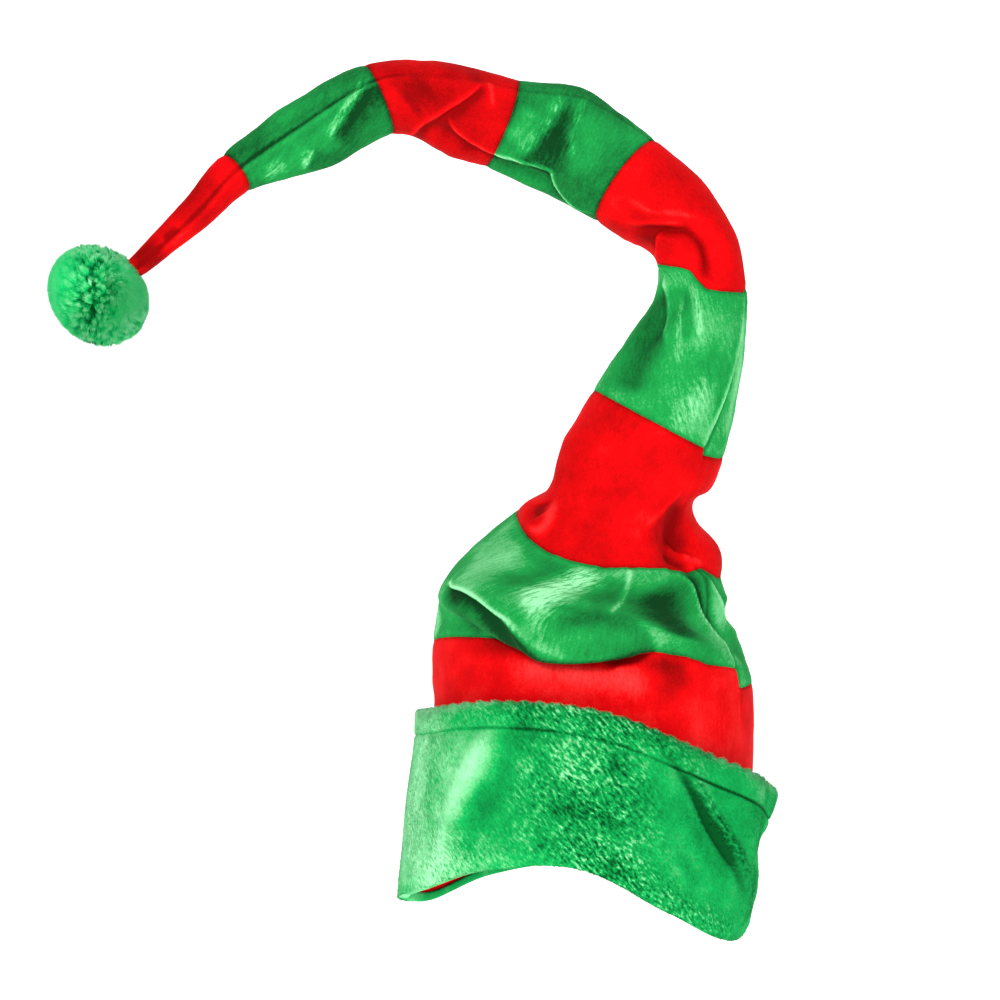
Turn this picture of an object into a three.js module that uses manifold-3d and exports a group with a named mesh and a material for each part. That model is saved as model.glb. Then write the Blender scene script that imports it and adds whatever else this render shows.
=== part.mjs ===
// A long striped novelty hat: nine bands of velvet sewn into one curling tube, a turned-up plush
// cuff round the head opening and a pompom on the tip. Millimetres, +Z up, +X to the wearer's left
// as seen from the front, and -Y towards the viewer. The origin is the middle of the head opening.
import * as THREE from "three";
import { mergeVertices } from "three/addons/utils/BufferGeometryUtils.js";
import Module from "manifold-3d";

// Driving dimensions
const VELVET_WALL = 2; // thickness of the striped cloth
const SEW_GAP = 0.3; // clearance between two pieces that are sewn together
const PLUSH_WALL = 3; // thickness of the cuff's cloth
const CUFF_UNDER = 3.4; // how far the cuff's fold hangs below the edge of the striped cloth
const HEM_INSIDE = 2; // how far the cuff is turned up inside the opening
const CUFF_STAND = 7.5; // how far the cuff's free edge stands off the crown
const HEM_ROLL = { height: 14, thickness: 4.4, groove: 1.2 }; // stitched roll along the free edge
const POMPOM = { head: 26.5, locks: 20, lock_place: 20, lock_radius: 10.4, lock_stretch: 1.08 };
const POMPOM_SEAT_DEG = 42; // bare cap of the pompom's head where the tip is sewn on
const RED = 0xe01218;
const GREEN = 0x1f9a4a;

// Heights round the head opening, every 30 degrees: 0 is +X, 90 the back, 180 -X, 270 the front.
// rim is the edge of the opening, and cuff_top the free edge of the turned-up cuff.
const OPENING = [
  { angle: 0, rim: 1, cuff_top: 65 },
  { angle: 30, rim: 3, cuff_top: 67 },
  { angle: 60, rim: 7, cuff_top: 78 },
  { angle: 90, rim: 13, cuff_top: 92 },
  { angle: 120, rim: 7.5, cuff_top: 101 },
  { angle: 150, rim: -5, cuff_top: 107 },
  { angle: 180, rim: 8.5, cuff_top: 110 },
  { angle: 210, rim: 14, cuff_top: 115 },
  { angle: 240, rim: 29, cuff_top: 121 },
  { angle: 270, rim: 32, cuff_top: 117 },
  { angle: 300, rim: 6, cuff_top: 98 },
  { angle: 330, rim: -11, cuff_top: 79 },
];

// Cross-sections of the striped tube from the opening to the tip. x and z place the middle, at y = 0.
// half_width lies in the XZ plane at turn degrees above +X, half_depth across it, and lean tips
// the section about its width, so that its back rises. The first three follow OPENING instead.
const SECTIONS = [
  { name: "rim", x: 0, z: 0, half_width: 98.5, half_depth: 99, turn: 0, lean: 0 },
  { name: "cuff middle", x: 5, z: 48, half_width: 94, half_depth: 98, turn: 0, lean: 0 },
  { name: "cuff top", x: 10, z: 95, half_width: 91.5, half_depth: 96, turn: 0, lean: 0 },
  { name: "red 1 to green 1", x: 10, z: 139, half_width: 92.5, half_depth: 92, turn: -8, lean: -8 },
  { name: "green 1", x: 9, z: 175, half_width: 82.5, half_depth: 80, turn: -11.5, lean: 2 },
  { name: "green 1 to red 2", x: 25, z: 207.5, half_width: 61.5, half_depth: 60, turn: -18, lean: 12 },
  { name: "neck", x: 28.5, z: 233.5, half_width: 42.5, half_depth: 46, turn: -12, lean: 6 },
  { name: "red 2", x: 39, z: 257, half_width: 43.5, half_depth: 43, turn: -20, lean: 2 },
  { name: "red 2 to green 2", x: 48, z: 277.5, half_width: 42, half_depth: 40, turn: -26, lean: 0 },
  { name: "green 2", x: 62, z: 313, half_width: 35, half_depth: 35, turn: -18, lean: 0 },
  { name: "green 2 top", x: 72, z: 342, half_width: 27.5, half_depth: 30, turn: -15.5, lean: 0 },
  { name: "green 2 to red 3", x: 73, z: 361, half_width: 26, half_depth: 28, turn: -12, lean: 0 },
  { name: "red 3 bend", x: 67.5, z: 381, half_width: 25, half_depth: 28, turn: 13, lean: 0 },
  { name: "red 3", x: 52.5, z: 399, half_width: 26.5, half_depth: 28, turn: 37, lean: -6 },
  { name: "red 3 to green 3", x: 29.5, z: 416.5, half_width: 28.5, half_depth: 28, turn: 53, lean: -12 },
  { name: "green 3", x: -2, z: 436, half_width: 31, half_depth: 27, turn: 68, lean: 0 },
  { name: "green 3 to red 4", x: -42, z: 449.5, half_width: 26.5, half_depth: 25, turn: 70, lean: 10 },
  { name: "red 4", x: -79, z: 460.5, half_width: 24.5, half_depth: 23, turn: 87, lean: 4 },
  { name: "red 4 to green 4", x: -113, z: 463, half_width: 21.5, half_depth: 20, turn: 113, lean: 9 },
  { name: "green 4", x: -151, z: 445, half_width: 20.5, half_depth: 18, turn: 116, lean: 6 },
  { name: "green 4 to red 5", x: -195, z: 421, half_width: 13, half_depth: 13, turn: 128, lean: 18 },
  { name: "red 5", x: -219, z: 397, half_width: 10, half_depth: 10, turn: 130, lean: 4 },
  { name: "tip", x: -252, z: 367.3, half_width: 7.3, half_depth: 7.3, turn: 138, lean: 0 },
];

// Bands of cloth between two sections, with the facets round and along each of them. crowd above 1
// draws the facets together towards the band's lower seam.
const BANDS = [
  { name: "red_band_1", from: 0, to: 3, round: 44, along: 5, crowd: 1, colour: RED },
  { name: "green_band_1", from: 3, to: 5, round: 44, along: 9, crowd: 1.6, colour: GREEN },
  { name: "red_band_2", from: 5, to: 8, round: 34, along: 8, crowd: 1, colour: RED },
  { name: "green_band_2", from: 8, to: 11, round: 30, along: 7, crowd: 1, colour: GREEN },
  { name: "red_band_3", from: 11, to: 14, round: 28, along: 8, crowd: 1, colour: RED },
  { name: "green_band_3", from: 14, to: 16, round: 26, along: 7, crowd: 1, colour: GREEN },
  { name: "red_band_4", from: 16, to: 18, round: 24, along: 7, crowd: 1, colour: RED },
  { name: "green_band_4", from: 18, to: 20, round: 20, along: 6, crowd: 1, colour: GREEN },
  { name: "red_band_5", from: 20, to: 22, round: 14, along: 6, crowd: 1, colour: RED },
];

// Folds and dents of the cloth. Each is a smooth swelling about a section number, at, and an angle. It
// fades out over reach sections and spread degrees, and drift turns its middle by so many degrees a
// section. lift swells the cloth outwards, or dents it where negative, and slump slides it towards the
// rim. A fold without drift or slump has none.
const FOLDS = [
  { name: "slumped pouch", at: 3.3, angle: 264, reach: 0.32, spread: 54, lift: 3, slump: 17 },
  { name: "pouch swelling", at: 3.75, angle: 260, reach: 0.8, spread: 84, lift: 11, slump: 4 },
  { name: "left crest", at: 3.62, angle: 214, reach: 0.42, spread: 32, drift: -60, lift: 4, slump: 4 },
  { name: "tuck left of pouch", at: 3.28, angle: 208, reach: 0.36, spread: 36, drift: -30, lift: -5 },
  { name: "tuck under pouch", at: 3.0, angle: 256, reach: 0.45, spread: 66, lift: -4 },
  { name: "crease right of pouch", at: 4.2, angle: 321, reach: 1.1, spread: 20, drift: -16, lift: -5 },
  { name: "flap on the right", at: 4.25, angle: 347, reach: 1.0, spread: 28, drift: -6, lift: 3.5 },
  { name: "sag of seam 2", at: 5.0, angle: 236, reach: 0.8, spread: 46, lift: 1, slump: 7 },
  { name: "rise of seam 2", at: 5.0, angle: 312, reach: 0.6, spread: 34, lift: 0, slump: -5 },
  { name: "dent right of neck", at: 5.5, angle: 312, reach: 0.62, spread: 24, lift: -8 },
  { name: "swelling right of neck", at: 5.4, angle: 356, reach: 0.5, spread: 34, lift: 6 },
  { name: "swelling left of neck", at: 5.35, angle: 205, reach: 0.5, spread: 34, lift: 6, slump: 3 },
  { name: "front of red 2", at: 6.9, angle: 200, reach: 1.0, spread: 40, lift: 3 },
  { name: "long dent of green 2", at: 9.5, angle: 226, reach: 1.3, spread: 26, drift: 8, lift: -5 },
  { name: "ridge of green 2", at: 10.1, angle: 268, reach: 1.2, spread: 24, drift: -10, lift: 2.5 },
  { name: "knot of bend", at: 11.4, angle: 236, reach: 0.8, spread: 34, drift: 12, lift: 4 },
  { name: "crease of bend", at: 11.7, angle: 284, reach: 1.0, spread: 34, drift: -10, lift: -4.5 },
  { name: "crown of bend", at: 13.0, angle: 350, reach: 1.2, spread: 60, lift: 2 },
  { name: "lobe of green 3", at: 14.9, angle: 252, reach: 0.9, spread: 36, lift: 3.5 },
  { name: "crease under green 3", at: 15.2, angle: 210, reach: 1.0, spread: 22, lift: -4.5 },
  { name: "dent of green 3", at: 15.45, angle: 292, reach: 0.55, spread: 34, lift: -4.5 },
  { name: "top of green 3", at: 15.3, angle: 355, reach: 0.75, spread: 50, lift: 4 },
  { name: "facet of red 4", at: 16.8, angle: 278, reach: 0.8, spread: 40, drift: 20, lift: -4 },
  { name: "crease under red 4", at: 16.7, angle: 216, reach: 0.8, spread: 24, lift: -3.5 },
  { name: "belly of green 4", at: 19.0, angle: 180, reach: 1.0, spread: 50, lift: 2.2 },
  { name: "seam of green 4", at: 19.0, angle: 302, reach: 1.1, spread: 20, lift: -2 },
];

// Waves of the cuff round the opening, each about an angle: belly swells it half-way up, and flare at
// its free edge.
const CUFF_WAVES = [
  { name: "ridge front left", angle: 222, spread: 22, belly: 4, flare: 3 },
  { name: "hollow front left", angle: 243, spread: 16, belly: -2, flare: -1.5 },
  { name: "swelling front", angle: 270, spread: 26, belly: 2.6, flare: 2 },
  { name: "hollow front right", angle: 308, spread: 14, belly: -2.6, flare: -2 },
  { name: "ridge front right", angle: 328, spread: 18, belly: 4.5, flare: 3.5 },
  { name: "corner right", angle: 356, spread: 26, belly: -2, flare: 3 },
  { name: "back", angle: 90, spread: 70, belly: 2.6, flare: 2 },
];

const CUFF_SECTIONS = 2; // the cuff lies on the tube between section 0 and this one
const CUFF_ROUND = 44; // facets round the cuff
const POMPOM_DETAIL = 1; // subdivisions of the pompom's head
const LOCK_DETAIL = 1; // subdivisions of each lock
const STEP = 1e-3; // step of the numerical derivatives, in sections and radians

const degrees = THREE.MathUtils.degToRad;
const lastSection = SECTIONS.length - 1;

// Smooth hump: 1 in the middle, 0 with no slope at a distance of 1 and beyond.
function hump(distance) {
  const d = Math.min(Math.abs(distance), 1);
  return Math.cos((d * Math.PI) / 2) ** 2;
}

// Difference of two angles in degrees, from -180 to 180.
function turnBetween(a, b) {
  return THREE.MathUtils.euclideanModulo(a - b + 180, 360) - 180;
}

// Catmull-Rom weights of four neighbours for a place t between the second and the third.
function splineWeights(t) {
  const t2 = t * t;
  const t3 = t2 * t;
  return [(-t3 + 2 * t2 - t) / 2, (3 * t3 - 5 * t2 + 2) / 2, (-3 * t3 + 4 * t2 + t) / 2, (t3 - t2) / 2];
}

// Height of a named edge of the opening at an angle in radians.
function openingHeight(column, angle) {
  const place = THREE.MathUtils.euclideanModulo((angle * OPENING.length) / (2 * Math.PI), OPENING.length);
  const first = Math.floor(place);
  const weights = splineWeights(place - first);
  return weights.reduce((sum, weight, i) => {
    const row = OPENING[THREE.MathUtils.euclideanModulo(first - 1 + i, OPENING.length)];
    return sum + weight * row[column];
  }, 0);
}

// A point of one cross-section, before folds.
function ringPoint(index, angle) {
  const s = SECTIONS[index];
  const turn = degrees(s.turn);
  const lean = degrees(s.lean);
  const across = s.half_width * Math.cos(angle);
  const back = s.half_depth * Math.sin(angle);
  const up = back * Math.sin(lean);
  const point = new THREE.Vector3(
    s.x + across * Math.cos(turn) - up * Math.sin(turn),
    back * Math.cos(lean),
    s.z + across * Math.sin(turn) + up * Math.cos(turn),
  );
  if (index <= CUFF_SECTIONS) {
    const rim = openingHeight("rim", angle) + CUFF_UNDER;
    point.z = THREE.MathUtils.lerp(rim, openingHeight("cuff_top", angle), index / CUFF_SECTIONS);
  }
  return point;
}

// A point of the smooth tube: a spline through the sections at one angle.
function smoothPoint(section, angle) {
  const first = Math.min(Math.max(Math.floor(section), 0), lastSection - 1);
  const weights = splineWeights(section - first);
  const point = new THREE.Vector3();
  weights.forEach((weight, i) => {
    const index = first - 1 + i;
    const inside = Math.min(Math.max(index, 0), lastSection);
    const ring = ringPoint(inside, angle);
    if (index !== inside) {
      ring.multiplyScalar(2).sub(ringPoint(2 * inside - index, angle));
    }
    point.addScaledVector(ring, weight);
  });
  return point;
}

// Directions of a surface(section, angle): along the tube and outwards.
function directions(surface, section, angle) {
  const along = surface(section + STEP, angle).sub(surface(section - STEP, angle)).normalize();
  const around = surface(section, angle + STEP).sub(surface(section, angle - STEP));
  const outward = around.cross(along).normalize();
  return { along, outward };
}

// A point of the outer face of the cloth, with its folds.
function clothPoint(section, angle) {
  const point = smoothPoint(section, angle);
  const { along, outward } = directions(smoothPoint, section, angle);
  const angleDeg = THREE.MathUtils.radToDeg(angle);
  for (const fold of FOLDS) {
    const { drift = 0, slump = 0 } = fold;
    const off = section - fold.at;
    const middle = fold.angle + drift * off;
    const share = hump(off / fold.reach) * hump(turnBetween(angleDeg, middle) / fold.spread);
    point.addScaledVector(outward, fold.lift * share);
    point.addScaledVector(along, -slump * share);
  }
  return point;
}

// A closed body from rings of points that all have the same count. Neighbouring rings are joined,
// and the last one to the first, so that the rings go once round the body's wall.
function bodyFromRings(rings) {
  const count = rings[0].length;
  const positions = rings.flat().flatMap((p) => [p.x, p.y, p.z]);
  const faces = [];
  rings.forEach((_, r) => {
    const here = r * count;
    const next = ((r + 1) % rings.length) * count;
    for (let i = 0; i < count; i++) {
      const j = (i + 1) % count;
      faces.push(here + i, here + j, next + j, here + i, next + j, next + i);
    }
  });
  const geometry = new THREE.BufferGeometry();
  geometry.setAttribute("position", new THREE.Float32BufferAttribute(positions, 3));
  geometry.setIndex(faces);
  geometry.computeVertexNormals();
  return geometry;
}

function anglesRound(count) {
  return Array.from({ length: count }, (_, i) => (2 * Math.PI * i) / count);
}

// One band of cloth: its outer face up the tube, then its inner face back down.
function bandGeometry(band) {
  const outer = [];
  const inner = [];
  for (let k = 0; k <= band.along; k++) {
    const section = THREE.MathUtils.lerp(band.from, band.to, (k / band.along) ** band.crowd);
    const trim = k === 0 ? SEW_GAP / 2 : k === band.along ? -SEW_GAP / 2 : 0;
    const outerRing = [];
    const innerRing = [];
    for (const angle of anglesRound(band.round)) {
      const { along, outward } = directions(clothPoint, section, angle);
      const point = clothPoint(section, angle).addScaledVector(along, trim);
      outerRing.push(point);
      innerRing.push(point.clone().addScaledVector(outward, -VELVET_WALL));
    }
    outer.push(outerRing);
    inner.push(innerRing);
  }
  return bodyFromRings([...outer, ...inner.reverse()]);
}

// Swelling of the cuff, belly or flare, at an angle in radians.
function cuffWave(column, angle) {
  const angleDeg = THREE.MathUtils.radToDeg(angle);
  return CUFF_WAVES.reduce(
    (sum, wave) => sum + wave[column] * hump(turnBetween(angleDeg, wave.angle) / wave.spread),
    0,
  );
}

// The cuff's outline in section: out is the distance from the outer face of the striped cloth, and
// up the height above that cloth's edge. It runs up the outside, over the rolled hem, down the
// inside of the turn-up, round the cloth's edge and up the hem inside the opening.
function cuffOutline(height, belly, flare) {
  const gap = SEW_GAP;
  const roll = HEM_ROLL;
  const hemOut = -VELVET_WALL - gap;
  const stand = CUFF_STAND + flare;
  const groove = height - roll.height;
  return [
    { out: gap + 0.6 * PLUSH_WALL, up: -CUFF_UNDER },
    { out: gap + PLUSH_WALL, up: -0.4 * CUFF_UNDER },
    { out: gap + PLUSH_WALL + 0.35 * CUFF_STAND + 0.5 * belly, up: 0.25 * height },
    { out: gap + PLUSH_WALL + 0.7 * CUFF_STAND + belly, up: 0.5 * height },
    { out: gap + PLUSH_WALL + 0.95 * stand, up: groove - 0.4 * roll.height },
    { out: gap + PLUSH_WALL + stand - roll.groove, up: groove },
    { out: stand + roll.thickness, up: groove + 0.35 * roll.height },
    { out: stand + 0.95 * roll.thickness, up: height - 0.2 * roll.height },
    { out: stand + 0.55 * roll.thickness, up: height },
    { out: stand, up: height - 0.12 * roll.height },
    { out: stand, up: groove },
    { out: gap + 0.7 * CUFF_STAND + belly, up: 0.5 * height },
    { out: gap, up: 0.12 * height },
    { out: gap, up: -gap },
    { out: hemOut, up: -gap },
    { out: hemOut, up: HEM_INSIDE },
    { out: hemOut - 0.6 * PLUSH_WALL, up: HEM_INSIDE },
    { out: hemOut - 0.6 * PLUSH_WALL, up: -0.5 * CUFF_UNDER },
    { out: hemOut, up: -CUFF_UNDER },
  ];
}

// A point that follows the striped cloth inside the cuff, out from it and up from its edge.
function cuffPoint(angle, height, spot) {
  const section = (Math.max(spot.up, 0) / height) * CUFF_SECTIONS;
  const { along, outward } = directions(smoothPoint, section, angle);
  const point = smoothPoint(section, angle).addScaledVector(outward, spot.out);
  return point.addScaledVector(along, Math.min(spot.up, 0));
}

function cuffGeometry() {
  const columns = anglesRound(CUFF_ROUND).map((angle) => {
    const height = openingHeight("cuff_top", angle) - openingHeight("rim", angle) - CUFF_UNDER;
    const outline = cuffOutline(height, cuffWave("belly", angle), cuffWave("flare", angle));
    return outline.map((spot) => cuffPoint(angle, height, spot));
  });
  const rings = columns[0].map((_, k) => columns.map((column) => column[k]));
  return bodyFromRings(rings);
}

// Direction number i of a spiral that covers a ball evenly, with the seat's direction as its pole.
function spiralDirection(i, count, pole) {
  const height = 1 - (2 * (i + 0.5)) / count;
  const turn = i * Math.PI * (3 - Math.sqrt(5));
  const radius = Math.sqrt(1 - height * height);
  const up = new THREE.Vector3(0, 0, 1);
  const direction = new THREE.Vector3(radius * Math.cos(turn), radius * Math.sin(turn), height);
  return direction.applyQuaternion(new THREE.Quaternion().setFromUnitVectors(up, pole));
}

// The pompom: locks of pile fused to a round head, about its own middle.
function pompomGeometry(wasm, seat) {
  const solid = (geometry) => {
    geometry.deleteAttribute("normal");
    geometry.deleteAttribute("uv");
    const merged = mergeVertices(geometry);
    return new wasm.Manifold(
      new wasm.Mesh({
        numProp: 3,
        vertProperties: merged.getAttribute("position").array,
        triVerts: new Uint32Array(merged.index.array),
      }),
    );
  };
  let body = solid(new THREE.IcosahedronGeometry(POMPOM.head, POMPOM_DETAIL));
  for (let i = 0; i < POMPOM.locks; i++) {
    const direction = spiralDirection(i, POMPOM.locks, seat);
    if (direction.angleTo(seat) < degrees(POMPOM_SEAT_DEG)) {
      continue;
    }
    const lock = new THREE.IcosahedronGeometry(POMPOM.lock_radius, LOCK_DETAIL);
    lock.scale(1, POMPOM.lock_stretch, 1);
    lock.applyQuaternion(new THREE.Quaternion().setFromUnitVectors(new THREE.Vector3(0, 1, 0), direction));
    const middle = direction.clone().multiplyScalar(POMPOM.lock_place);
    lock.translate(middle.x, middle.y, middle.z);
    body = body.add(solid(lock));
  }
  const mesh = body.getMesh();
  const geometry = new THREE.BufferGeometry();
  geometry.setAttribute("position", new THREE.Float32BufferAttribute(mesh.vertProperties, 3));
  geometry.setIndex(Array.from(mesh.triVerts));
  geometry.computeVertexNormals();
  return geometry;
}

function piece(name, geometry, colour, roughness) {
  const material = new THREE.MeshStandardMaterial({ color: colour, roughness, metalness: 0 });
  const mesh = new THREE.Mesh(geometry, material);
  mesh.name = name;
  return mesh;
}

const wasm = await Module();
wasm.setup();

const hat = new THREE.Group();
hat.name = "hat";
for (const band of BANDS) {
  hat.add(piece(band.name, bandGeometry(band), band.colour, 0.7));
}
hat.add(piece("cuff", cuffGeometry(), GREEN, 0.9));

// The pompom sits on the end of the tube, in line with its last stretch.
const tipEnd = ringPoint(lastSection, 0).add(ringPoint(lastSection, Math.PI)).divideScalar(2);
const tipDirection = directions(smoothPoint, lastSection, Math.PI / 2).along;
const pompom = piece("pompom", pompomGeometry(wasm, tipDirection.clone().negate()), GREEN, 0.95);
const seatDepth = Math.sqrt(POMPOM.head ** 2 - SECTIONS[lastSection].half_width ** 2);
pompom.position.copy(tipEnd).addScaledVector(tipDirection, seatDepth + SEW_GAP);
hat.add(pompom);

export default hat;
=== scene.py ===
import logging
import math
from dataclasses import dataclass
from enum import Enum

import bpy
import numpy as np
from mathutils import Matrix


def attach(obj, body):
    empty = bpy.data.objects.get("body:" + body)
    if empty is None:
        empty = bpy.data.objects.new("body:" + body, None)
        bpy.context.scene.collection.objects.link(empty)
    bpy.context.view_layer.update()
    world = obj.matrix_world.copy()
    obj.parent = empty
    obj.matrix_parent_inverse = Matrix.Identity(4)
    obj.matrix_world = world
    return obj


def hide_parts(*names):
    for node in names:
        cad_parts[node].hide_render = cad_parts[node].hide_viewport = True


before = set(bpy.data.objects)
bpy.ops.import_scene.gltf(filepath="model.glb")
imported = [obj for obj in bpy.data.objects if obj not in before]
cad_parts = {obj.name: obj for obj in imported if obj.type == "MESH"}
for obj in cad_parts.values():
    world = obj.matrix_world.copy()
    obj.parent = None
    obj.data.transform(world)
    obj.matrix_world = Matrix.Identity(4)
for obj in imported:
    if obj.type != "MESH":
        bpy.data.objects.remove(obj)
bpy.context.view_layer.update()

BODY = "root"  # the one body that every piece rides on
MM = 0.001  # metres in a millimetre
FULL_TURN = 2 * math.pi
STEP = 1e-3  # step of the numerical derivatives, in sections and radians
TINY = 1e-12  # keeps a division by a length clear of zero
SHORTEST = 1e-9  # the same for a step of a crease, in millimetres
WAVE_SIZES = (0.7, 1.5)  # range of a random wave's length about its mean
WHITE = (1.0, 1.0, 1.0, 1.0)
LOG = logging.getLogger("hat")

Colour = tuple[int, int, int]
Spot = tuple[float, float]
Range = tuple[float, float]
Place = tuple[float, float, float]
Socket = bpy.types.NodeSocket


class Dye(Enum):
    """The cloth colours of the hat."""

    RED = "red"
    GREEN = "green"


class Held(Enum):
    """How a sheet of cloth is held in its place."""

    STRETCHED = "stretched"
    GATHERED = "gathered"
    FOLDED = "folded"


@dataclass(frozen=True)
class Section:
    """One cross-section of the striped tube, in millimetres and degrees, as in the part's source."""

    name: str
    x: float
    z: float
    half_width: float
    half_depth: float
    turn: float
    lean: float


@dataclass(frozen=True)
class Edge:
    """Heights of the rim and of the cuff's free edge at one angle round the opening."""

    rim: float
    cuff_top: float


@dataclass(frozen=True)
class Fold:
    """A swelling or dent of the cloth about a section number and an angle.

    It fades out over reach sections and spread degrees, drift turns its middle by so many degrees a
    section, lift moves the cloth outwards and slump slides it towards the rim.
    """

    name: str
    at: float
    angle: float
    reach: float
    spread: float
    lift: float
    drift: float = 0.0
    slump: float = 0.0


@dataclass(frozen=True)
class Crease:
    """A fold line of the cloth through places given as section and angle.

    lift raises the line, and pull drags the cloth over to the line's right-hand side; both fade over
    left and right millimetres beside it. light paints a highlight into the nap's colour within glow
    millimetres of the line, or painted shade where it is below 0, shade paints a shadow into it on the
    right-hand side, as under a lip, ends is the share of the line over which it fades out, and plain
    keeps a broad painted light free of brush strokes.
    """

    name: str
    line: tuple[Spot, ...]
    lift: float = 0.0
    pull: float = 0.0
    left: float = 6.0
    right: float = 6.0
    light: float = 0.0
    shade: float = 0.0
    glow: float = 2.5
    ends: float = 0.25
    plain: bool = False


@dataclass(frozen=True)
class StripeEdge:
    """How far a stripe's sewn edge lies off its section, in sections, at angles round the tube."""

    at: float
    angles: tuple[float, ...]
    offsets: tuple[float, ...]


# Rim and cuff every 30 degrees round the opening, from the right by way of the back
OPENING = (
    Edge(1, 65), Edge(3, 67), Edge(7, 78), Edge(13, 92), Edge(7.5, 101), Edge(-3.0, 107),
    Edge(4.5, 110), Edge(15.5, 115), Edge(30.4, 121), Edge(32.6, 117), Edge(6.8, 98), Edge(-12.8, 79),
)
CUFF_UNDER = 3.4  # millimetres from the cuff's fold up to the velvet's edge
CUFF_SECTIONS = 2  # sections that the cuff covers

SECTIONS = (
    Section("rim", 0, 0, 98.5, 99, 0, 0),
    Section("cuff middle", 5, 48, 94, 98, 0, 0),
    Section("cuff top", 10, 95, 91.5, 96, 0, 0),
    Section("red 1 to green 1", 10, 139, 92.5, 92, -8, -8),
    Section("green 1", 9, 175, 82.5, 80, -11.5, 2),
    Section("green 1 to red 2", 25, 207.5, 61.5, 60, -18, 12),
    Section("neck", 28.5, 233.5, 42.5, 46, -12, 6),
    Section("red 2", 39, 257, 43.5, 43, -20, 2),
    Section("red 2 to green 2", 48, 277.5, 42, 40, -26, 0),
    Section("green 2", 62, 313, 35, 35, -18, 0),
    Section("green 2 top", 72, 342, 27.5, 30, -15.5, 0),
    Section("green 2 to red 3", 73, 361, 26, 28, -12, 0),
    Section("red 3 bend", 67.5, 381, 25, 28, 13, 0),
    Section("red 3", 52.5, 399, 26.5, 28, 37, -6),
    Section("red 3 to green 3", 29.5, 416.5, 28.5, 28, 53, -12),
    Section("green 3", -2, 436, 31, 27, 68, 0),
    Section("green 3 to red 4", -42, 449.5, 26.5, 25, 70, 10),
    Section("red 4", -79, 460.5, 24.5, 23, 87, 4),
    Section("red 4 to green 4", -113, 463, 21.5, 20, 113, 9),
    Section("green 4", -151, 445, 20.5, 18, 116, 6),
    Section("green 4 to red 5", -195, 421, 13, 13, 128, 18),
    Section("red 5", -219, 397, 10, 10, 130, 4),
    Section("tip", -254.2, 364.9, 6.0, 6.0, 138, 0),
)

FOLDS = (
    Fold("slumped pouch", 3.3, 257, 0.32, 45, 3, slump=18),
    Fold("pouch swelling", 3.75, 260, 0.8, 84, 11, slump=4),
    Fold("left crest", 3.62, 214, 0.42, 32, 4, drift=-60, slump=4),
    Fold("tuck left of pouch", 3.28, 208, 0.36, 36, -5, drift=-30),
    Fold("tuck under pouch", 3.0, 256, 0.45, 66, -4),
    Fold("crease right of pouch", 4.2, 321, 1.1, 20, -5, drift=-16),
    Fold("flap on the right", 4.25, 347, 1.0, 28, 3.5, drift=-6),
    Fold("notch on the right", 4.3, 4, 0.4, 44, -6.0),
    Fold("sag of seam 2", 5.0, 236, 0.8, 46, 1, slump=7),
    Fold("rise of seam 2", 5.0, 312, 0.6, 34, 0, slump=-5),
    Fold("dent right of neck", 5.5, 312, 0.62, 24, -8),
    Fold("swelling right of neck", 5.4, 356, 0.5, 34, 6),
    Fold("waist right of neck", 6.25, 352, 0.5, 34, -4),
    Fold("swelling left of neck", 5.3, 205, 0.45, 34, 4.5, slump=3),
    Fold("front of red 2", 6.6, 195, 1.0, 44, 3.8),
    Fold("long dent of green 2", 9.5, 226, 1.3, 26, -5, drift=8),
    Fold("ridge of green 2", 10.1, 268, 1.2, 24, 2.5, drift=-10),
    Fold("knot of bend", 11.4, 236, 0.8, 34, 4, drift=12),
    Fold("crease of bend", 11.7, 284, 1.0, 34, -4.5, drift=-10),
    Fold("crown of bend", 13.0, 350, 1.2, 60, 0.4),
    Fold("belly of bend", 13.2, 186, 1.1, 50, 2.0),
    Fold("lobe of green 3", 14.9, 252, 0.9, 36, 3.5),
    Fold("crease under green 3", 15.2, 210, 1.0, 22, -4.5),
    Fold("dent of green 3", 15.45, 292, 0.55, 34, -4.5),
    Fold("top of green 3", 15.3, 355, 0.75, 50, 2.6),
    Fold("facet of red 4", 16.8, 278, 0.8, 40, -4, drift=20),
    Fold("crease under red 4", 16.7, 222, 0.8, 22, -3.0),
    Fold("belly of red 4", 16.6, 178, 0.7, 46, 2.4),
    Fold("belly of green 4", 19.0, 180, 1.0, 50, 2.2),
    Fold("seam of green 4", 19.0, 302, 1.1, 20, -2),
)

# Fold lines of the cloth. Their light and shade are painted into the nap's colour: painted highlights along
# crests and sheens, painted shade in hollows, valleys and under lips.
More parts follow.
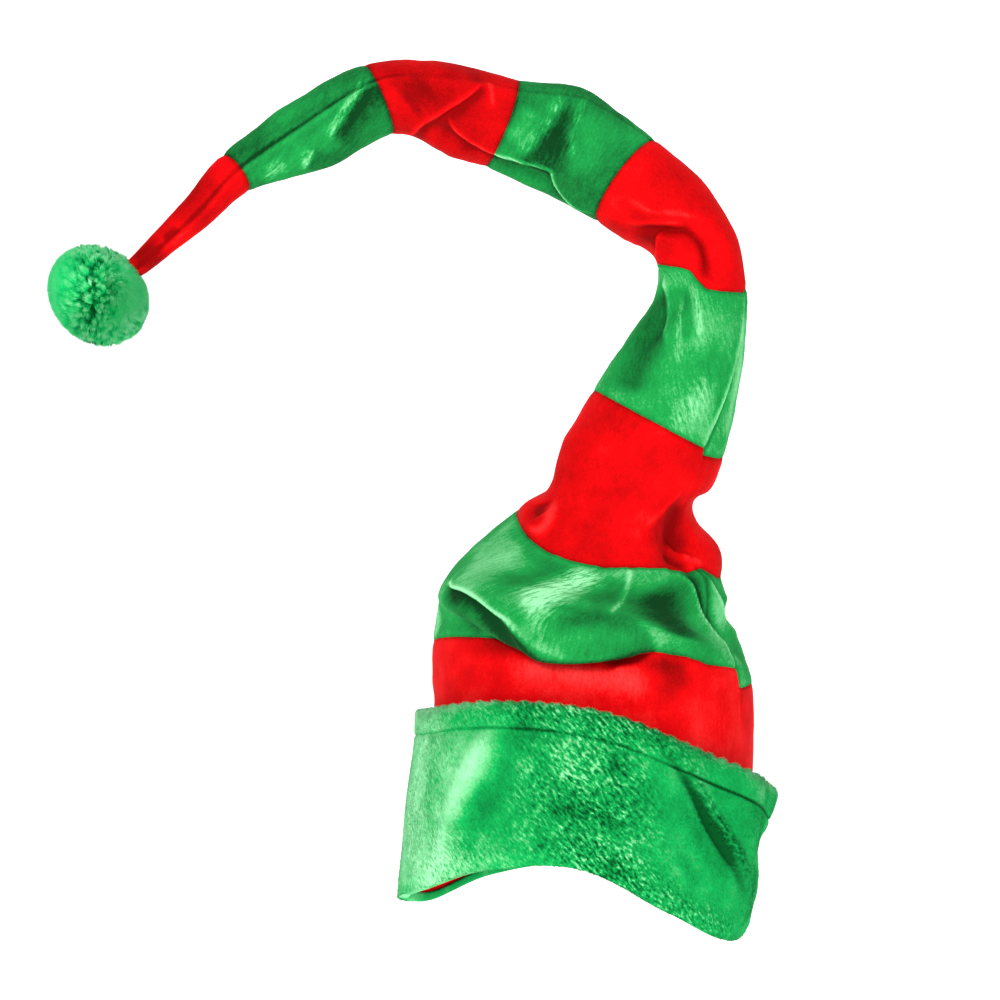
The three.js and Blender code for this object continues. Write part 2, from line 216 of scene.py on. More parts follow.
CREASES = (
    Crease("left lip of the pouch",
           ((3.9, 198), (3.97, 210), (3.97, 221), (3.88, 231), (3.66, 240), (3.46, 248), (3.34, 260)),
           lift=6.5, pull=8.5, left=13, right=3.4, shade=-0.7, ends=0.25),
    Crease("light on the lower lip", ((3.68, 239), (3.52, 245), (3.4, 253), (3.36, 260)),
           light=0.1, glow=0.7),
    Crease("light under the lip", ((3.6, 181), (3.3, 184), (3.0, 192)),
           light=0.24, glow=7, plain=True),
    Crease("dark under the lip", ((3.55, 216), (3.32, 219), (3.1, 226)), light=-0.2, glow=7),
    Crease("light on the lip",
           ((3.9, 198), (3.97, 210), (3.97, 221), (3.88, 231), (3.66, 240), (3.48, 247)),
           light=0.5, glow=1.2, ends=0.16),
    Crease("light left of green 1", ((4.9, 226), (4.45, 216), (4.1, 208)),
           light=0.17, glow=21, plain=True),
    Crease("front lip of the pouch",
           ((3.4, 240), (3.36, 252), (3.34, 264), (3.36, 276), (3.4, 286)),
           lift=2.4, pull=2.6, left=8, right=3.0, shade=-0.3),
    Crease("arc above the lip", ((3.42, 252), (3.48, 262), (3.5, 273), (3.46, 284)),
           light=0.17, glow=1.9),
    Crease("dark of the pouch", ((3.62, 250), (3.58, 262), (3.6, 275), (3.64, 290)),
           light=-0.2, glow=8),
    Crease("sheen of the pouch", ((5.0, 260), (4.5, 257), (4.05, 252), (3.75, 246)),
           lift=0.8, left=12, right=12, light=0.5, glow=8),
    Crease("shade left of the sheen", ((5.0, 245), (4.5, 241), (4.0, 234)),
           lift=-0.6, left=9, right=9, light=-0.16, glow=9),
    Crease("upright ridge of green 1", ((5.12, 277), (4.66, 279), (4.22, 279), (3.8, 274)),
           lift=1.2, left=3, right=3, light=0.28, glow=1.3, ends=0.12),
    Crease("dark of green 1", ((4.9, 291), (4.4, 297), (3.85, 300), (3.45, 300)),
           lift=-1.2, left=12, right=12, light=-0.42, glow=19),
    Crease("dark left of the ridge", ((4.9, 273), (4.4, 273), (3.95, 268)), light=-0.14, glow=6),
    Crease("right lip of green 1", ((3.08, 328), (3.82, 327), (4.4, 321), (4.75, 315), (5.1, 308)),
           lift=3.0, pull=3.4, left=7, right=3.0, light=0.25, shade=-0.6, glow=1.2),
    Crease("flap of green 1", ((4.0, 343), (4.5, 337), (4.9, 331), (5.25, 325)),
           lift=2.0, pull=2.4, left=5, right=2.4, light=0.2, shade=-0.4, glow=1.6),
    Crease("right strip of green 1", ((5.0, 333), (4.6, 334), (4.1, 334), (3.6, 334), (3.1, 332)),
           light=0.2, glow=8, ends=0.12, plain=True),
    Crease("swirl left of the neck", ((5.12, 209), (5.15, 221), (5.33, 224), (5.54, 219), (5.78, 206)),
           lift=1.6, left=5, right=3, light=0.4, glow=2.6, plain=True),
    Crease("hollow left of the neck", ((5.6, 202), (5.46, 210), (5.38, 217)),
           lift=-1.6, left=4, right=4, light=-0.34, glow=3.4),
    Crease("pit right of the neck", ((6.41, 316), (6.02, 315), (5.79, 314), (5.6, 319), (5.42, 326)),
           lift=-4.0, left=5, right=6, light=-0.4, glow=7),
    Crease("left arm of the pit", ((5.69, 284), (5.93, 295), (6.24, 304), (6.69, 311)),
           lift=1.0, left=3, right=3, light=0.16, shade=-0.14, glow=1.6),
    Crease("ridge right of the neck", ((5.62, 307), (5.5, 317), (5.37, 324), (5.21, 331)),
           lift=2.6, left=3.5, right=4, light=0.3, glow=2.2),
    Crease("hollow under the ridge", ((5.42, 300), (5.3, 312), (5.2, 322)),
           lift=-1.4, left=5, right=5, light=-0.3, glow=4.5),
    Crease("soft fold of red 1",
           ((2.62, 232), (2.54, 255), (2.52, 275), (2.56, 292)),
           lift=1.8, left=6, right=10, light=0.42, glow=8),
    Crease("peak of red 1", ((3.14, 292), (2.95, 288), (2.75, 281), (2.58, 272)),
           lift=2.6, pull=1.8, left=7, right=4.5, light=0.2, shade=-0.34, glow=3.0, ends=0.2),
    Crease("dark of red 1",
           ((2.9, 212), (2.88, 236), (2.84, 262), (2.88, 288), (2.87, 304)), light=-0.4, glow=6),
    Crease("shade beside the peak", ((3.05, 304), (2.75, 298), (2.4, 287), (2.2, 276)), light=-0.2, glow=8),
    Crease("light right of red 1", ((1.9, 322), (2.3, 321), (2.7, 320), (2.95, 319)),
           light=0.1, glow=16, ends=0.1),
    Crease("valley of green 2", ((10.3, 200), (9.7, 206), (9.32, 213), (8.7, 226), (8.1, 234)),
           lift=-2.6, left=10, right=10, light=-0.27, glow=14, ends=0.12),
    Crease("left ridge of green 2", ((10.9, 208), (10.3, 213), (9.9, 222), (9.4, 238), (9.05, 250)),
           lift=1.8, pull=1.0, left=4, right=3, light=0.16, shade=-0.2, glow=1.6),
    Crease("right ridge of green 2", ((10.6, 250), (10.2, 257), (9.8, 266), (9.2, 281)),
           lift=1.2, left=3, right=3, light=0.16, glow=2.1),
    Crease("dark between the ridges", ((10.5, 238), (10.1, 246), (9.6, 256), (9.1, 268)),
           lift=-1.0, left=4, right=4, light=-0.16, glow=4),
    Crease("speckled ridge", ((10.3, 236), (9.7, 246), (9.2, 258), (8.8, 266)), light=0.13, glow=2.2),
    Crease("sheen of green 2", ((9.1, 290), (8.6, 293), (8.2, 285), (8.05, 270)), light=0.14, glow=7),
    Crease("right strip of green 2", ((10.2, 336), (9.3, 336), (8.7, 337), (8.2, 338)),
           light=0.15, glow=5, ends=0.15, plain=True),
    Crease("seam ridge of green 2", ((10.2, 338), (9.5, 329), (8.8, 321), (8.1, 313)),
           lift=1.2, left=2.4, right=1.6, light=0.42, shade=-0.2, glow=1.6),
    Crease("groove round the knot",
           ((13.2, 214), (12.7, 232), (12.4, 251), (12.2, 266), (11.85, 275), (11.45, 275),
            (11.05, 270), (10.75, 272)),
           lift=-4.0, left=4, right=4, light=-0.4, glow=3.2),
    Crease("left edge of the knot", ((12.5, 244), (12.2, 231), (11.75, 220), (11.2, 213), (10.7, 208)),
           lift=3.4, pull=3.2, left=7, right=2.2, light=0.2, shade=-0.5, glow=1.2, ends=0.15),
    Crease("dark under red 3", ((13.9, 204), (13.3, 206), (12.7, 214), (12.2, 216)), light=-0.2, glow=7),
    Crease("lip over the knot", ((13.35, 216), (12.95, 234), (12.6, 254), (12.35, 272)),
           lift=2.0, left=5, right=3, light=0.25, glow=1.8),
    Crease("fold of red 3", ((13.7, 246), (13.3, 246), (12.95, 254), (12.6, 275), (12.3, 292)),
           lift=1.2, left=6, right=4, light=0.26, shade=-0.1, glow=2.2),
    Crease("flap edge of the curve",
           ((16.95, 257), (16.7, 246), (16.4, 237), (16.0, 233), (15.67, 236), (15.37, 239),
            (15.1, 240), (14.97, 230), (14.82, 212), (14.45, 203), (13.95, 197)),
           lift=3.0, pull=4.0, left=9, right=2.6, light=0.55, shade=-0.5, glow=1.3, ends=0.12),
    Crease("ridge of green 3", ((15.82, 236), (15.62, 256), (15.5, 278), (15.46, 302), (15.42, 325)),
           lift=2.2, pull=1.4, left=7, right=7, light=0.18, shade=-0.18, glow=3.4),
    Crease("pale left of green 3", ((15.86, 246), (15.78, 272), (15.72, 300)),
           light=0.22, glow=7, plain=True),
    Crease("pale right of green 3", ((15.1, 320), (14.95, 290), (14.75, 262), (14.5, 240)),
           light=0.15, glow=9, plain=True),
    Crease("valley of green 3", ((15.35, 308), (15.3, 290), (15.34, 270), (15.25, 248)),
           lift=-2.2, left=7, right=8, light=-0.1, glow=9),
    Crease("right fold of green 3", ((15.05, 345), (15.09, 294), (15.0, 270), (14.83, 252)),
           lift=1.2, left=4, right=4, light=0.16, glow=2.4),
    Crease("long ridge of red 4", ((17.85, 180), (17.45, 226), (17.0, 256), (16.7, 283), (16.42, 314)),
           lift=2.4, pull=2.6, left=8, right=2.4, light=0.42, shade=-0.4, glow=1.5, ends=0.15),
    Crease("right ridge of red 4", ((16.4, 318), (16.33, 298), (16.26, 278)),
           lift=1.4, left=3, right=4, light=0.34, glow=1.6),
    Crease("low part of red 4", ((16.2, 218), (16.6, 216), (17.1, 210)), light=-0.1, glow=9),
    Crease("right end of red 4", ((16.16, 302), (16.2, 280), (16.22, 258)), light=-0.1, glow=7),
    Crease("facet of red 4 dark", ((17.7, 250), (17.4, 270), (17.1, 292)), light=-0.26, glow=9),
    Crease("pale half of green 4", ((19.9, 222), (19.5, 228), (19.05, 236), (18.6, 252)),
           light=0.12, glow=9, ends=0.15, plain=True),
    Crease("first sheen of green 4", ((18.94, 238), (18.8, 252), (18.56, 268), (18.26, 289), (18.0, 303)),
           lift=1.6, pull=1.0, left=5, right=4.5, light=0.26, shade=-0.3, glow=3.4),
    Crease("second sheen of green 4", ((19.34, 200), (19.24, 220), (19.1, 244)),
           lift=1.2, pull=0.7, left=4, right=3.5, light=0.2, shade=-0.2, glow=2.8),
    Crease("third sheen of green 4", ((19.85, 204), (19.65, 220), (19.45, 238)), light=0.16, glow=5),
    Crease("dark end of red 5", ((21.5, 272), (21.75, 264), (22, 258)), light=-0.34, glow=9, ends=0.4),
    Crease("tuck of red 5", ((21.25, 268), (21.4, 272), (21.5, 280)),
           lift=-1.2, left=2.4, right=2.4, light=-0.35),
)

# The back seam as sections and angles
BACK_SEAM = (
    (0, 340), (3, 331), (5, 327), (7.9, 314), (8.5, 320), (9.2, 326), (10, 337), (12, 345), (14, 335),
    (16, 318), (18, 295), (19, 284), (20, 267), (21, 258), (22, 256),
)

# Narrower painted highlights go in solid, with the painted shade.
THIN_LINE = 2.0  # a light up to this many millimetres wide has no brush strokes

# How strongly the back seam shows along the tube
SEAM_FADE_SECTIONS = (2.7, 3.0, 5.0, 5.5, 7.6, 7.95, 10.0, 11.5, 17.4, 18.2)
SEAM_FADE = (0.15, 1.0, 1.0, 0.12, 0.12, 1.0, 1.0, 0.25, 0.25, 1.0)

STRIPE_EDGES = (
    StripeEdge(3, (268, 274, 278, 284, 290, 297, 304, 312, 330, 332, 350),
               (0.0, 0.1, 0.22, 0.25, 0.19, 0.14, 0.13, 0.07, 0.12, -0.14, 0.0)),
    StripeEdge(5, (265, 283, 300, 318, 330, 345, 360), (0.0, 0.12, 0.15, 0.1, 0.22, 0.06, 0.0)),
    StripeEdge(8, (200, 253, 287, 313, 315, 340, 370), (0.0, -0.08, -0.11, -0.11, -0.26, -0.14, 0.0)),
    StripeEdge(11, (215, 240, 251, 259, 270, 288, 333, 360),
               (0.05, 0.06, 0.0, -0.25, -0.48, -0.42, -0.2, 0.0)),
)


def hump(distance: np.ndarray) -> np.ndarray:
    """A swelling's profile: the squared cosine, 1 in the middle and 0 at a distance of 1 and beyond."""
    return np.cos(np.minimum(np.abs(distance), 1.0) * math.pi / 2) ** 2


def bell(distance: np.ndarray) -> np.ndarray:
    """A bell curve: 1 in the middle, about a third at a distance of 1, and never quite 0."""
    return np.exp(-(distance ** 2))


def fading(share: np.ndarray, ends: float) -> np.ndarray:
    """Rises from 0 at a share of 0 to 1 at ends, and falls again over ends to 0 at a share of 1."""
    return hump(1 - np.minimum(np.minimum(share, 1 - share) / ends, 1))


def turn_between(a: np.ndarray, b: np.ndarray) -> np.ndarray:
    """Difference of two angles in degrees, from -180 to 180."""
    return np.mod(a - b + 180.0, 360.0) - 180.0


def spline_weights(t: np.ndarray) -> list[np.ndarray]:
    """Catmull-Rom weights of four neighbours for a place t between the second and the third.

    Args:
        t: shares of the way, from 0 to 1.

    Returns:
        The four weights.
    """
    t2 = t * t
    t3 = t2 * t
    return [
        (-t3 + 2 * t2 - t) / 2,
        (3 * t3 - 5 * t2 + 2) / 2,
        (-3 * t3 + 4 * t2 + t) / 2,
        (t3 - t2) / 2,
    ]


def unit(vectors: np.ndarray) -> np.ndarray:
    """Vectors along the last axis, made one unit long."""
    return vectors / (np.linalg.norm(vectors, axis=-1, keepdims=True) + TINY)


def linear(colour: Colour) -> tuple[float, float, float, float]:
    """A screen colour of 0 to 255 as the linear colour that a shader takes, by the sRGB curve.

    Args:
        colour: red, green and blue.

    Returns:
        Linear red, green and blue, and an alpha of 1.
    """
    shares = np.array(colour) / 255.0
    mixed = np.where(shares <= 0.04045, shares / 12.92, ((shares + 0.055) / 1.055) ** 2.4)
    return (*mixed.tolist(), 1.0)


def waves(rng: np.random.Generator, turn: np.ndarray, along: np.ndarray, round_mm: float,
          length: float, count: int = 28) -> np.ndarray:
    """A smooth random field on a tube: a sum of cosines of about one wavelength in all directions.

    Args:
        rng: the seeded source of the waves' directions and phases.
        turn: angle round the tube, in radians; each wave fits a whole number of times.
        along: distance along the tube, in millimetres.
        round_mm: the tube's mean girth, in millimetres.
        length: the mean wavelength, in millimetres.
        count: number of waves.

    Returns:
        The field, with a mean of 0 and a spread of about 1.
    """
    total = np.zeros(np.broadcast(turn, along).shape)
    for _ in range(count):
        heading = rng.uniform(0, FULL_TURN)
        size = length * rng.uniform(*WAVE_SIZES)
        times = round(round_mm / size * math.cos(heading))
        pitch = FULL_TURN / size * math.sin(heading)
        total += np.cos(times * turn + pitch * along + rng.uniform(0, FULL_TURN))
    return total * math.sqrt(2 / count)


def smooth_line(spots: tuple[Spot, ...], steps: int = 4) -> np.ndarray:
    """A line of short straight steps along a Catmull-Rom spline through the spots.

    Args:
        spots: places, each of two numbers.
        steps: steps between two spots.

    Returns:
        The line's places, one a row.
    """
    given = np.array(spots, float)
    padded = np.concatenate([2 * given[:1] - given[1:2], given, 2 * given[-1:] - given[-2:-1]])
    place = np.linspace(0, len(given) - 1, (len(given) - 1) * steps + 1)
    first = np.minimum(place.astype(int), len(given) - 2)
    parts = spline_weights(place - first)
    return sum(w[:, None] * padded[first + i] for i, w in enumerate(parts))


def closed_lengths(points: np.ndarray, axis: int) -> np.ndarray:
    """Lengths round a grid of points that closes on an axis: its girths or its outlines."""
    return np.linalg.norm(np.roll(points, -1, axis=axis) - points, axis=-1).sum(axis=axis)


def row_steps(points: np.ndarray) -> np.ndarray:
    """Distances from each row of a grid of points to the next."""
    return np.linalg.norm(np.diff(points, axis=0), axis=-1)


@dataclass(frozen=True)
class Directions:
    """Unit vectors of the smooth tube at many places, with millimetres to a section and to a radian."""

    along: np.ndarray
    around: np.ndarray
    outward: np.ndarray
    per_section: np.ndarray
    per_radian: np.ndarray


@dataclass(frozen=True)
class HatTube:
    """The curling striped tube: points on it by section number and angle, in millimetres.

    Tables of stripe edges are read round the tube from the angle edges_from, in degrees.
    """

    sections: tuple[Section, ...] = SECTIONS
    folds: tuple[Fold, ...] = FOLDS
    creases: tuple[Crease, ...] = CREASES
    seam: tuple[Spot, ...] = BACK_SEAM
    edges: tuple[StripeEdge, ...] = STRIPE_EDGES
    edges_from: float = 30.0

    def column(self, name: str) -> np.ndarray:
        """One column of the table of sections."""
        return np.array([getattr(row, name) for row in self.sections], float)

    def opening_height(self, column: str, angle: np.ndarray) -> np.ndarray:
        """Height of the rim or of the cuff's free edge: a closed spline through the table.

        Args:
            column: the edge's name.
            angle: angles in radians.

        Returns:
            Heights in millimetres.
        """
        heights = np.array([getattr(row, column) for row in OPENING], float)
        place = np.mod(angle * len(heights) / FULL_TURN, len(heights))
        first = np.floor(place).astype(int)
        parts = spline_weights(place - first)
        return sum(w * heights[(first - 1 + i) % len(heights)] for i, w in enumerate(parts))

    def ring(self, index: np.ndarray, angle: np.ndarray) -> np.ndarray:
        """Points of whole cross-sections: an ellipse, leant about its width and turned in the XZ plane.

        Args:
            index: section numbers, whole.
            angle: angles in radians, of the same shape.

        Returns:
            Points, with x, y and z on the last axis.
        """
        turn = np.radians(self.column("turn"))[index]
        lean = np.radians(self.column("lean"))[index]
        across = self.column("half_width")[index] * np.cos(angle)
        back = self.column("half_depth")[index] * np.sin(angle)
        up = back * np.sin(lean)
        x = self.column("x")[index] + across * np.cos(turn) - up * np.sin(turn)
        z = self.column("z")[index] + across * np.sin(turn) + up * np.cos(turn)
        rim = self.opening_height("rim", angle) + CUFF_UNDER
        top = self.opening_height("cuff_top", angle)
        z = np.where(index <= CUFF_SECTIONS, rim + (top - rim) * index / CUFF_SECTIONS, z)
        return np.stack([x, back * np.cos(lean), z], axis=-1)

    def smooth(self, section: np.ndarray, angle: np.ndarray) -> np.ndarray:
        """Points of the tube without folds: a spline through the sections at each angle.

        Args:
            section: section numbers, with fractions.
            angle: angles in radians, of the same shape.

        Returns:
            Points in millimetres.
        """
        last = len(self.sections) - 1
        first = np.clip(np.floor(section), 0, last - 1).astype(int)
        total = np.zeros(section.shape + (3,))
        for i, weight in enumerate(spline_weights(section - first)):
            index = first - 1 + i
            inside = np.clip(index, 0, last)
            ring = self.ring(inside, angle)
            mirrored = 2 * ring - self.ring(np.clip(2 * inside - index, 0, last), angle)
            total += weight[..., None] * np.where((index != inside)[..., None], mirrored, ring)
        return total

    def directions(self, section: np.ndarray, angle: np.ndarray) -> Directions:
        """The smooth tube's directions and scales, from small differences of its points.

        Args:
            section: section numbers, with fractions.
            angle: angles in radians, of the same shape.

        Returns:
            The directions there.
        """
        along = (self.smooth(section + STEP, angle) - self.smooth(section - STEP, angle)) / (2 * STEP)
        around = (self.smooth(section, angle + STEP) - self.smooth(section, angle - STEP)) / (2 * STEP)
        return Directions(
            unit(along),
            unit(around),
            unit(np.cross(around, along)),
            np.linalg.norm(along, axis=-1),
            np.linalg.norm(around, axis=-1),
        )

    def cloth(self, section: np.ndarray, angle: np.ndarray) -> tuple[np.ndarray, np.ndarray, np.ndarray]:
        """The folded cloth: the smooth tube, moved by each fold and each crease.

        Args:
            section: section numbers, with fractions.
            angle: angles in radians, of the same shape.

        Returns:
            Points in millimetres; the creases' painted highlights, to be broken up by brush strokes; and
            their painted shade, with the solid painted highlights.
        """
        local = self.directions(section, angle)
        lift, along, around, light, shade = np.zeros((5,) + section.shape)
        for fold in self.folds:
            off = section - fold.at
            turn = turn_between(np.degrees(angle), fold.angle + fold.drift * off)
            share = hump(off / fold.reach) * hump(turn / fold.spread)
            lift += fold.lift * share
            along -= fold.slump * share
        for crease in self.creases:
            spots = [spot[0] for spot in crease.line]
            if section.max() < min(spots) - 1 or section.min() > max(spots) + 1:
                continue
            distance, fade, side_along, side_around = self.beside(crease, section, angle, local)
            width = np.where(distance > 0, crease.left, crease.right)
            share = fade * bell(distance / width)
            lift += crease.lift * share
            along += crease.pull * share * side_along
            around += crease.pull * share * side_around
            # Painted highlight, or painted shade where light is below 0, along the line, and painted shadow
            # beside it on the right-hand side
            line = crease.light * fade * bell(distance / crease.glow)
            under = np.maximum(-distance / crease.right, 0)
            shade += crease.shade * fade * under * np.exp(1 - under)
            # Broad painted highlights are kept apart for brush strokes; the rest goes in solid with the
            # painted shade
            if crease.light > 0 and crease.glow > THIN_LINE and not crease.plain:
                light += line
            else:
                shade += line
        point = self.smooth(section, angle) + lift[..., None] * local.outward
        point += along[..., None] * local.along + around[..., None] * local.around
        return point, light, shade

    @staticmethod
    def beside(crease: Crease, section: np.ndarray, angle: np.ndarray,
               local: Directions) -> list[np.ndarray]:
        """Where places lie beside a crease, measured on the unrolled tube.

        Args:
            crease: the crease.
            section: section numbers.
            angle: angles in radians.
            local: the tube's scales there.

        Returns:
            The distance from the line in millimetres, positive on its left-hand side; the line's
            fading towards its ends; and the two parts, along and around the tube, of the unit vector
            to its right-hand side.
        """
        line = smooth_line(crease.line)
        count = len(line) - 1
        best = np.full(section.shape, np.inf)
        found = [np.zeros(section.shape) for _ in range(4)]
        for i in range(count):
            du = np.radians(turn_between(np.degrees(angle), line[i, 1])) * local.per_radian
            dv = (section - line[i, 0]) * local.per_section
            eu = np.radians(line[i + 1, 1] - line[i, 1]) * local.per_radian
            ev = (line[i + 1, 0] - line[i, 0]) * local.per_section
            long = np.hypot(eu, ev) + SHORTEST
            t = np.clip((du * eu + dv * ev) / long ** 2, 0, 1)
            away = np.hypot(du - t * eu, dv - t * ev)
            closer = away < best
            best = np.where(closer, away, best)
            side = np.where(eu * dv - ev * du >= 0, away, -away)
            fade = fading((i + t) / count, crease.ends)
            for held, value in zip(found, (side, fade, -eu / long, ev / long)):
                held[...] = np.where(closer, value, held)
        return found

    def seam_angle(self, section: np.ndarray) -> np.ndarray:
        """Angle of the back seam in degrees, straight between the rows of its table."""
        return np.interp(section, [s[0] for s in self.seam], [s[1] for s in self.seam])

    def stripe_edge(self, section: float, angle: np.ndarray) -> np.ndarray:
        """How far a stripe's edge lies off its section at each angle, from its table if it has one.

        Args:
            section: the edge's section number.
            angle: angles in radians.

        Returns:
            Offsets in sections.
        """
        offset = np.zeros(np.shape(angle))
        for edge in self.edges:
            if edge.at == section:
                degrees = np.mod(np.degrees(angle) - self.edges_from, 360.0) + self.edges_from
                offset = offset + np.interp(degrees, edge.angles, edge.offsets)
        return offset


def grid_normals(points: np.ndarray) -> np.ndarray:
    """Outward normals of a grid that runs up a tube on axis 0 and closes round it on axis 1.

    Args:
        points: the grid's points.

    Returns:
        Unit vectors, across the steps up and round.
    """
    up = np.gradient(points, axis=0)
    around = np.roll(points, -1, axis=1) - np.roll(points, 1, axis=1)
    return unit(np.cross(around, up))


def tube_faces(rows: int, columns: int, closed: bool = False) -> np.ndarray:
    """Quads of a grid that closes round axis 1, and round axis 0 as well where closed is true.

    Args:
        rows: grid rows.
        columns: grid columns.
        closed: whether the last row joins the first.

    Returns:
        Four corner numbers a face, counter-clockwise from outside.
    """
    r = np.arange(rows if closed else rows - 1)[:, None]
    c = np.arange(columns)[None, :]
    right = (c + 1) % columns
    above = (r + 1) % rows
    corners = [r * columns + c, r * columns + right, above * columns + right, above * columns + c]
    return np.stack(np.broadcast_arrays(*corners), axis=-1).reshape(-1, 4)


def mesh_object(name: str, points_mm: np.ndarray, faces: np.ndarray,
                attributes: dict[str, np.ndarray] | None = None) -> bpy.types.Object:
    """Makes a smooth mesh object at the origin from arrays.

    Args:
        name: the piece's name.
        points_mm: vertices in millimetres, one a row.
        faces: corner numbers, the same count in every face.
        attributes: numbers kept at the vertices, by name; vectors where there are three axes.

    Returns:
        The object, linked into the scene.
    """
    mesh = bpy.data.meshes.new(name)
    sides = faces.shape[1]
    mesh.vertices.add(len(points_mm))
    mesh.vertices.foreach_set("co", (points_mm * MM).astype(np.float32).ravel())
    mesh.loops.add(faces.size)
    mesh.loops.foreach_set("vertex_index", faces.astype(np.int32).ravel())
    mesh.polygons.add(len(faces))
    mesh.polygons.foreach_set("loop_start", np.arange(0, faces.size, sides, dtype=np.int32))
    mesh.polygons.foreach_set("use_smooth", np.ones(len(faces), bool))
    for key, values in (attributes or {}).items():
        vector = values.ndim == 3
        layer = mesh.attributes.new(key, "FLOAT_VECTOR" if vector else "FLOAT", "POINT")
        layer.data.foreach_set("vector" if vector else "value", values.astype(np.float32).ravel())
    mesh.update(calc_edges=True)
    mesh.validate()
    piece = bpy.data.objects.new(name, mesh)
    bpy.context.scene.collection.objects.link(piece)
    return piece


class NodeTree:
    """Short words for building one material's nodes."""

    def __init__(self, name: str) -> None:
        """Starts an empty material with its output and main shader.

        Args:
            name: the material's name.
        """
        self.material = bpy.data.materials.new(name)
        self.material.use_nodes = True
        self.tree = self.material.node_tree
        self.tree.nodes.clear()
        self.shader = self.add("ShaderNodeBsdfPrincipled")
        output = self.add("ShaderNodeOutputMaterial")
        self.link(self.shader.outputs["BSDF"], output.inputs["Surface"])

    def add(self, kind: str, **values: object) -> bpy.types.Node:
        """Adds a node and sets its properties.

        Args:
            kind: the node's type.
            values: its properties, by name.

        Returns:
            The node.
        """
        node = self.tree.nodes.new(kind)
        for key, value in values.items():
            setattr(node, key, value)
        return node

    def link(self, source: Socket, target: Socket) -> None:
        """Joins an output to an input."""
        self.tree.links.new(source, target)

    def set(self, node: bpy.types.Node, values: dict[str, object]) -> None:
        """Sets the constant values of a node's inputs, by their names."""
        for key, value in values.items():
            node.inputs[key].default_value = value

    def attribute(self, name: str, output: str = "Fac") -> Socket:
        """A number kept at the piece's vertices, or a vector where output says so."""
        return self.add("ShaderNodeAttribute", attribute_name=name).outputs[output]

    def place(self) -> Socket:
        """The place on the piece, in Object coordinates."""
        return self.add("ShaderNodeTexCoord").outputs["Object"]

    def noise(self, place: Socket, cells: float, detail: float = 2.0, roughness: float = 0.6) -> Socket:
        """Noise of about a half at a place, with so many cells to a unit.

        Args:
            place: the vector that it is read at.
            cells: cells to a unit.
            detail: number of finer layers.
            roughness: weight of the finer layers.

        Returns:
            The noise.
        """
        texture = self.add("ShaderNodeTexNoise")
        self.set(texture, {"Scale": cells, "Detail": detail, "Roughness": roughness})
        self.link(place, texture.inputs["Vector"])
        return texture.outputs["Fac"]

    def math(self, operation: str, a: object, b: object = 0.0, c: object = 0.0) -> Socket:
        """A Math node on sockets or plain numbers.

        Args:
            operation: the node's operation.
            a: first value.
            b: second value.
            c: third value.

        Returns:
            The result.
        """
        node = self.add("ShaderNodeMath", operation=operation)
        for target, value in zip(node.inputs, (a, b, c)):
            if isinstance(value, Socket):
                self.link(value, target)
            else:
                target.default_value = value
        return node.outputs[0]

    def swing(self, noise: Socket) -> Socket:
        """Noise less its mean of a half, so that it swings about 0."""
        return self.math("SUBTRACT", noise, 0.5)

    def plus(self, total: Socket, value: Socket, weight: object) -> Socket:
        """A total with a weighted value added to it."""
        return self.math("MULTIPLY_ADD", value, weight, total)

    def ramp(self, value: Socket, stops: list[tuple[float, tuple]]) -> Socket:
        """A colour ramp through the stops, each a place and a colour.

        Args:
            value: what is coloured.
            stops: places and linear colours, in order.

        Returns:
            The colour.
        """
        node = self.add("ShaderNodeValToRGB")
        while len(node.color_ramp.elements) < len(stops):
            node.color_ramp.elements.new(0.5)
        for element, (place, colour) in zip(node.color_ramp.elements, stops):
            element.position = place
            element.color = colour
        self.link(value, node.inputs["Fac"])
        return node.outputs["Color"]

    def bump(self, height: Socket, strength: float, distance: float) -> None:
        """Bump on the main shader from a height.

        Args:
            height: the height.
            strength: the bump's strength.
            distance: its depth in metres.
        """
        node = self.add("ShaderNodeBump")
        self.set(node, {"Strength": strength, "Distance": distance})
        self.link(height, node.inputs["Height"])
        self.link(node.outputs["Normal"], self.shader.inputs["Normal"])


@dataclass(frozen=True)
class Dressing:
    """A built material and the name of its slot."""

    material: bpy.types.Material
    slot: str

    def put_on(self, piece: bpy.types.Object, node: str = "") -> None:
        """Dresses a piece, puts it on its body and, where given, hides the node it replaces.

        Args:
            piece: the piece.
            node: name of the solid that the piece stands for.
        """
        piece.data.materials.append(self.material)
        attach(piece, BODY)
        if node:
            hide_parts(node)


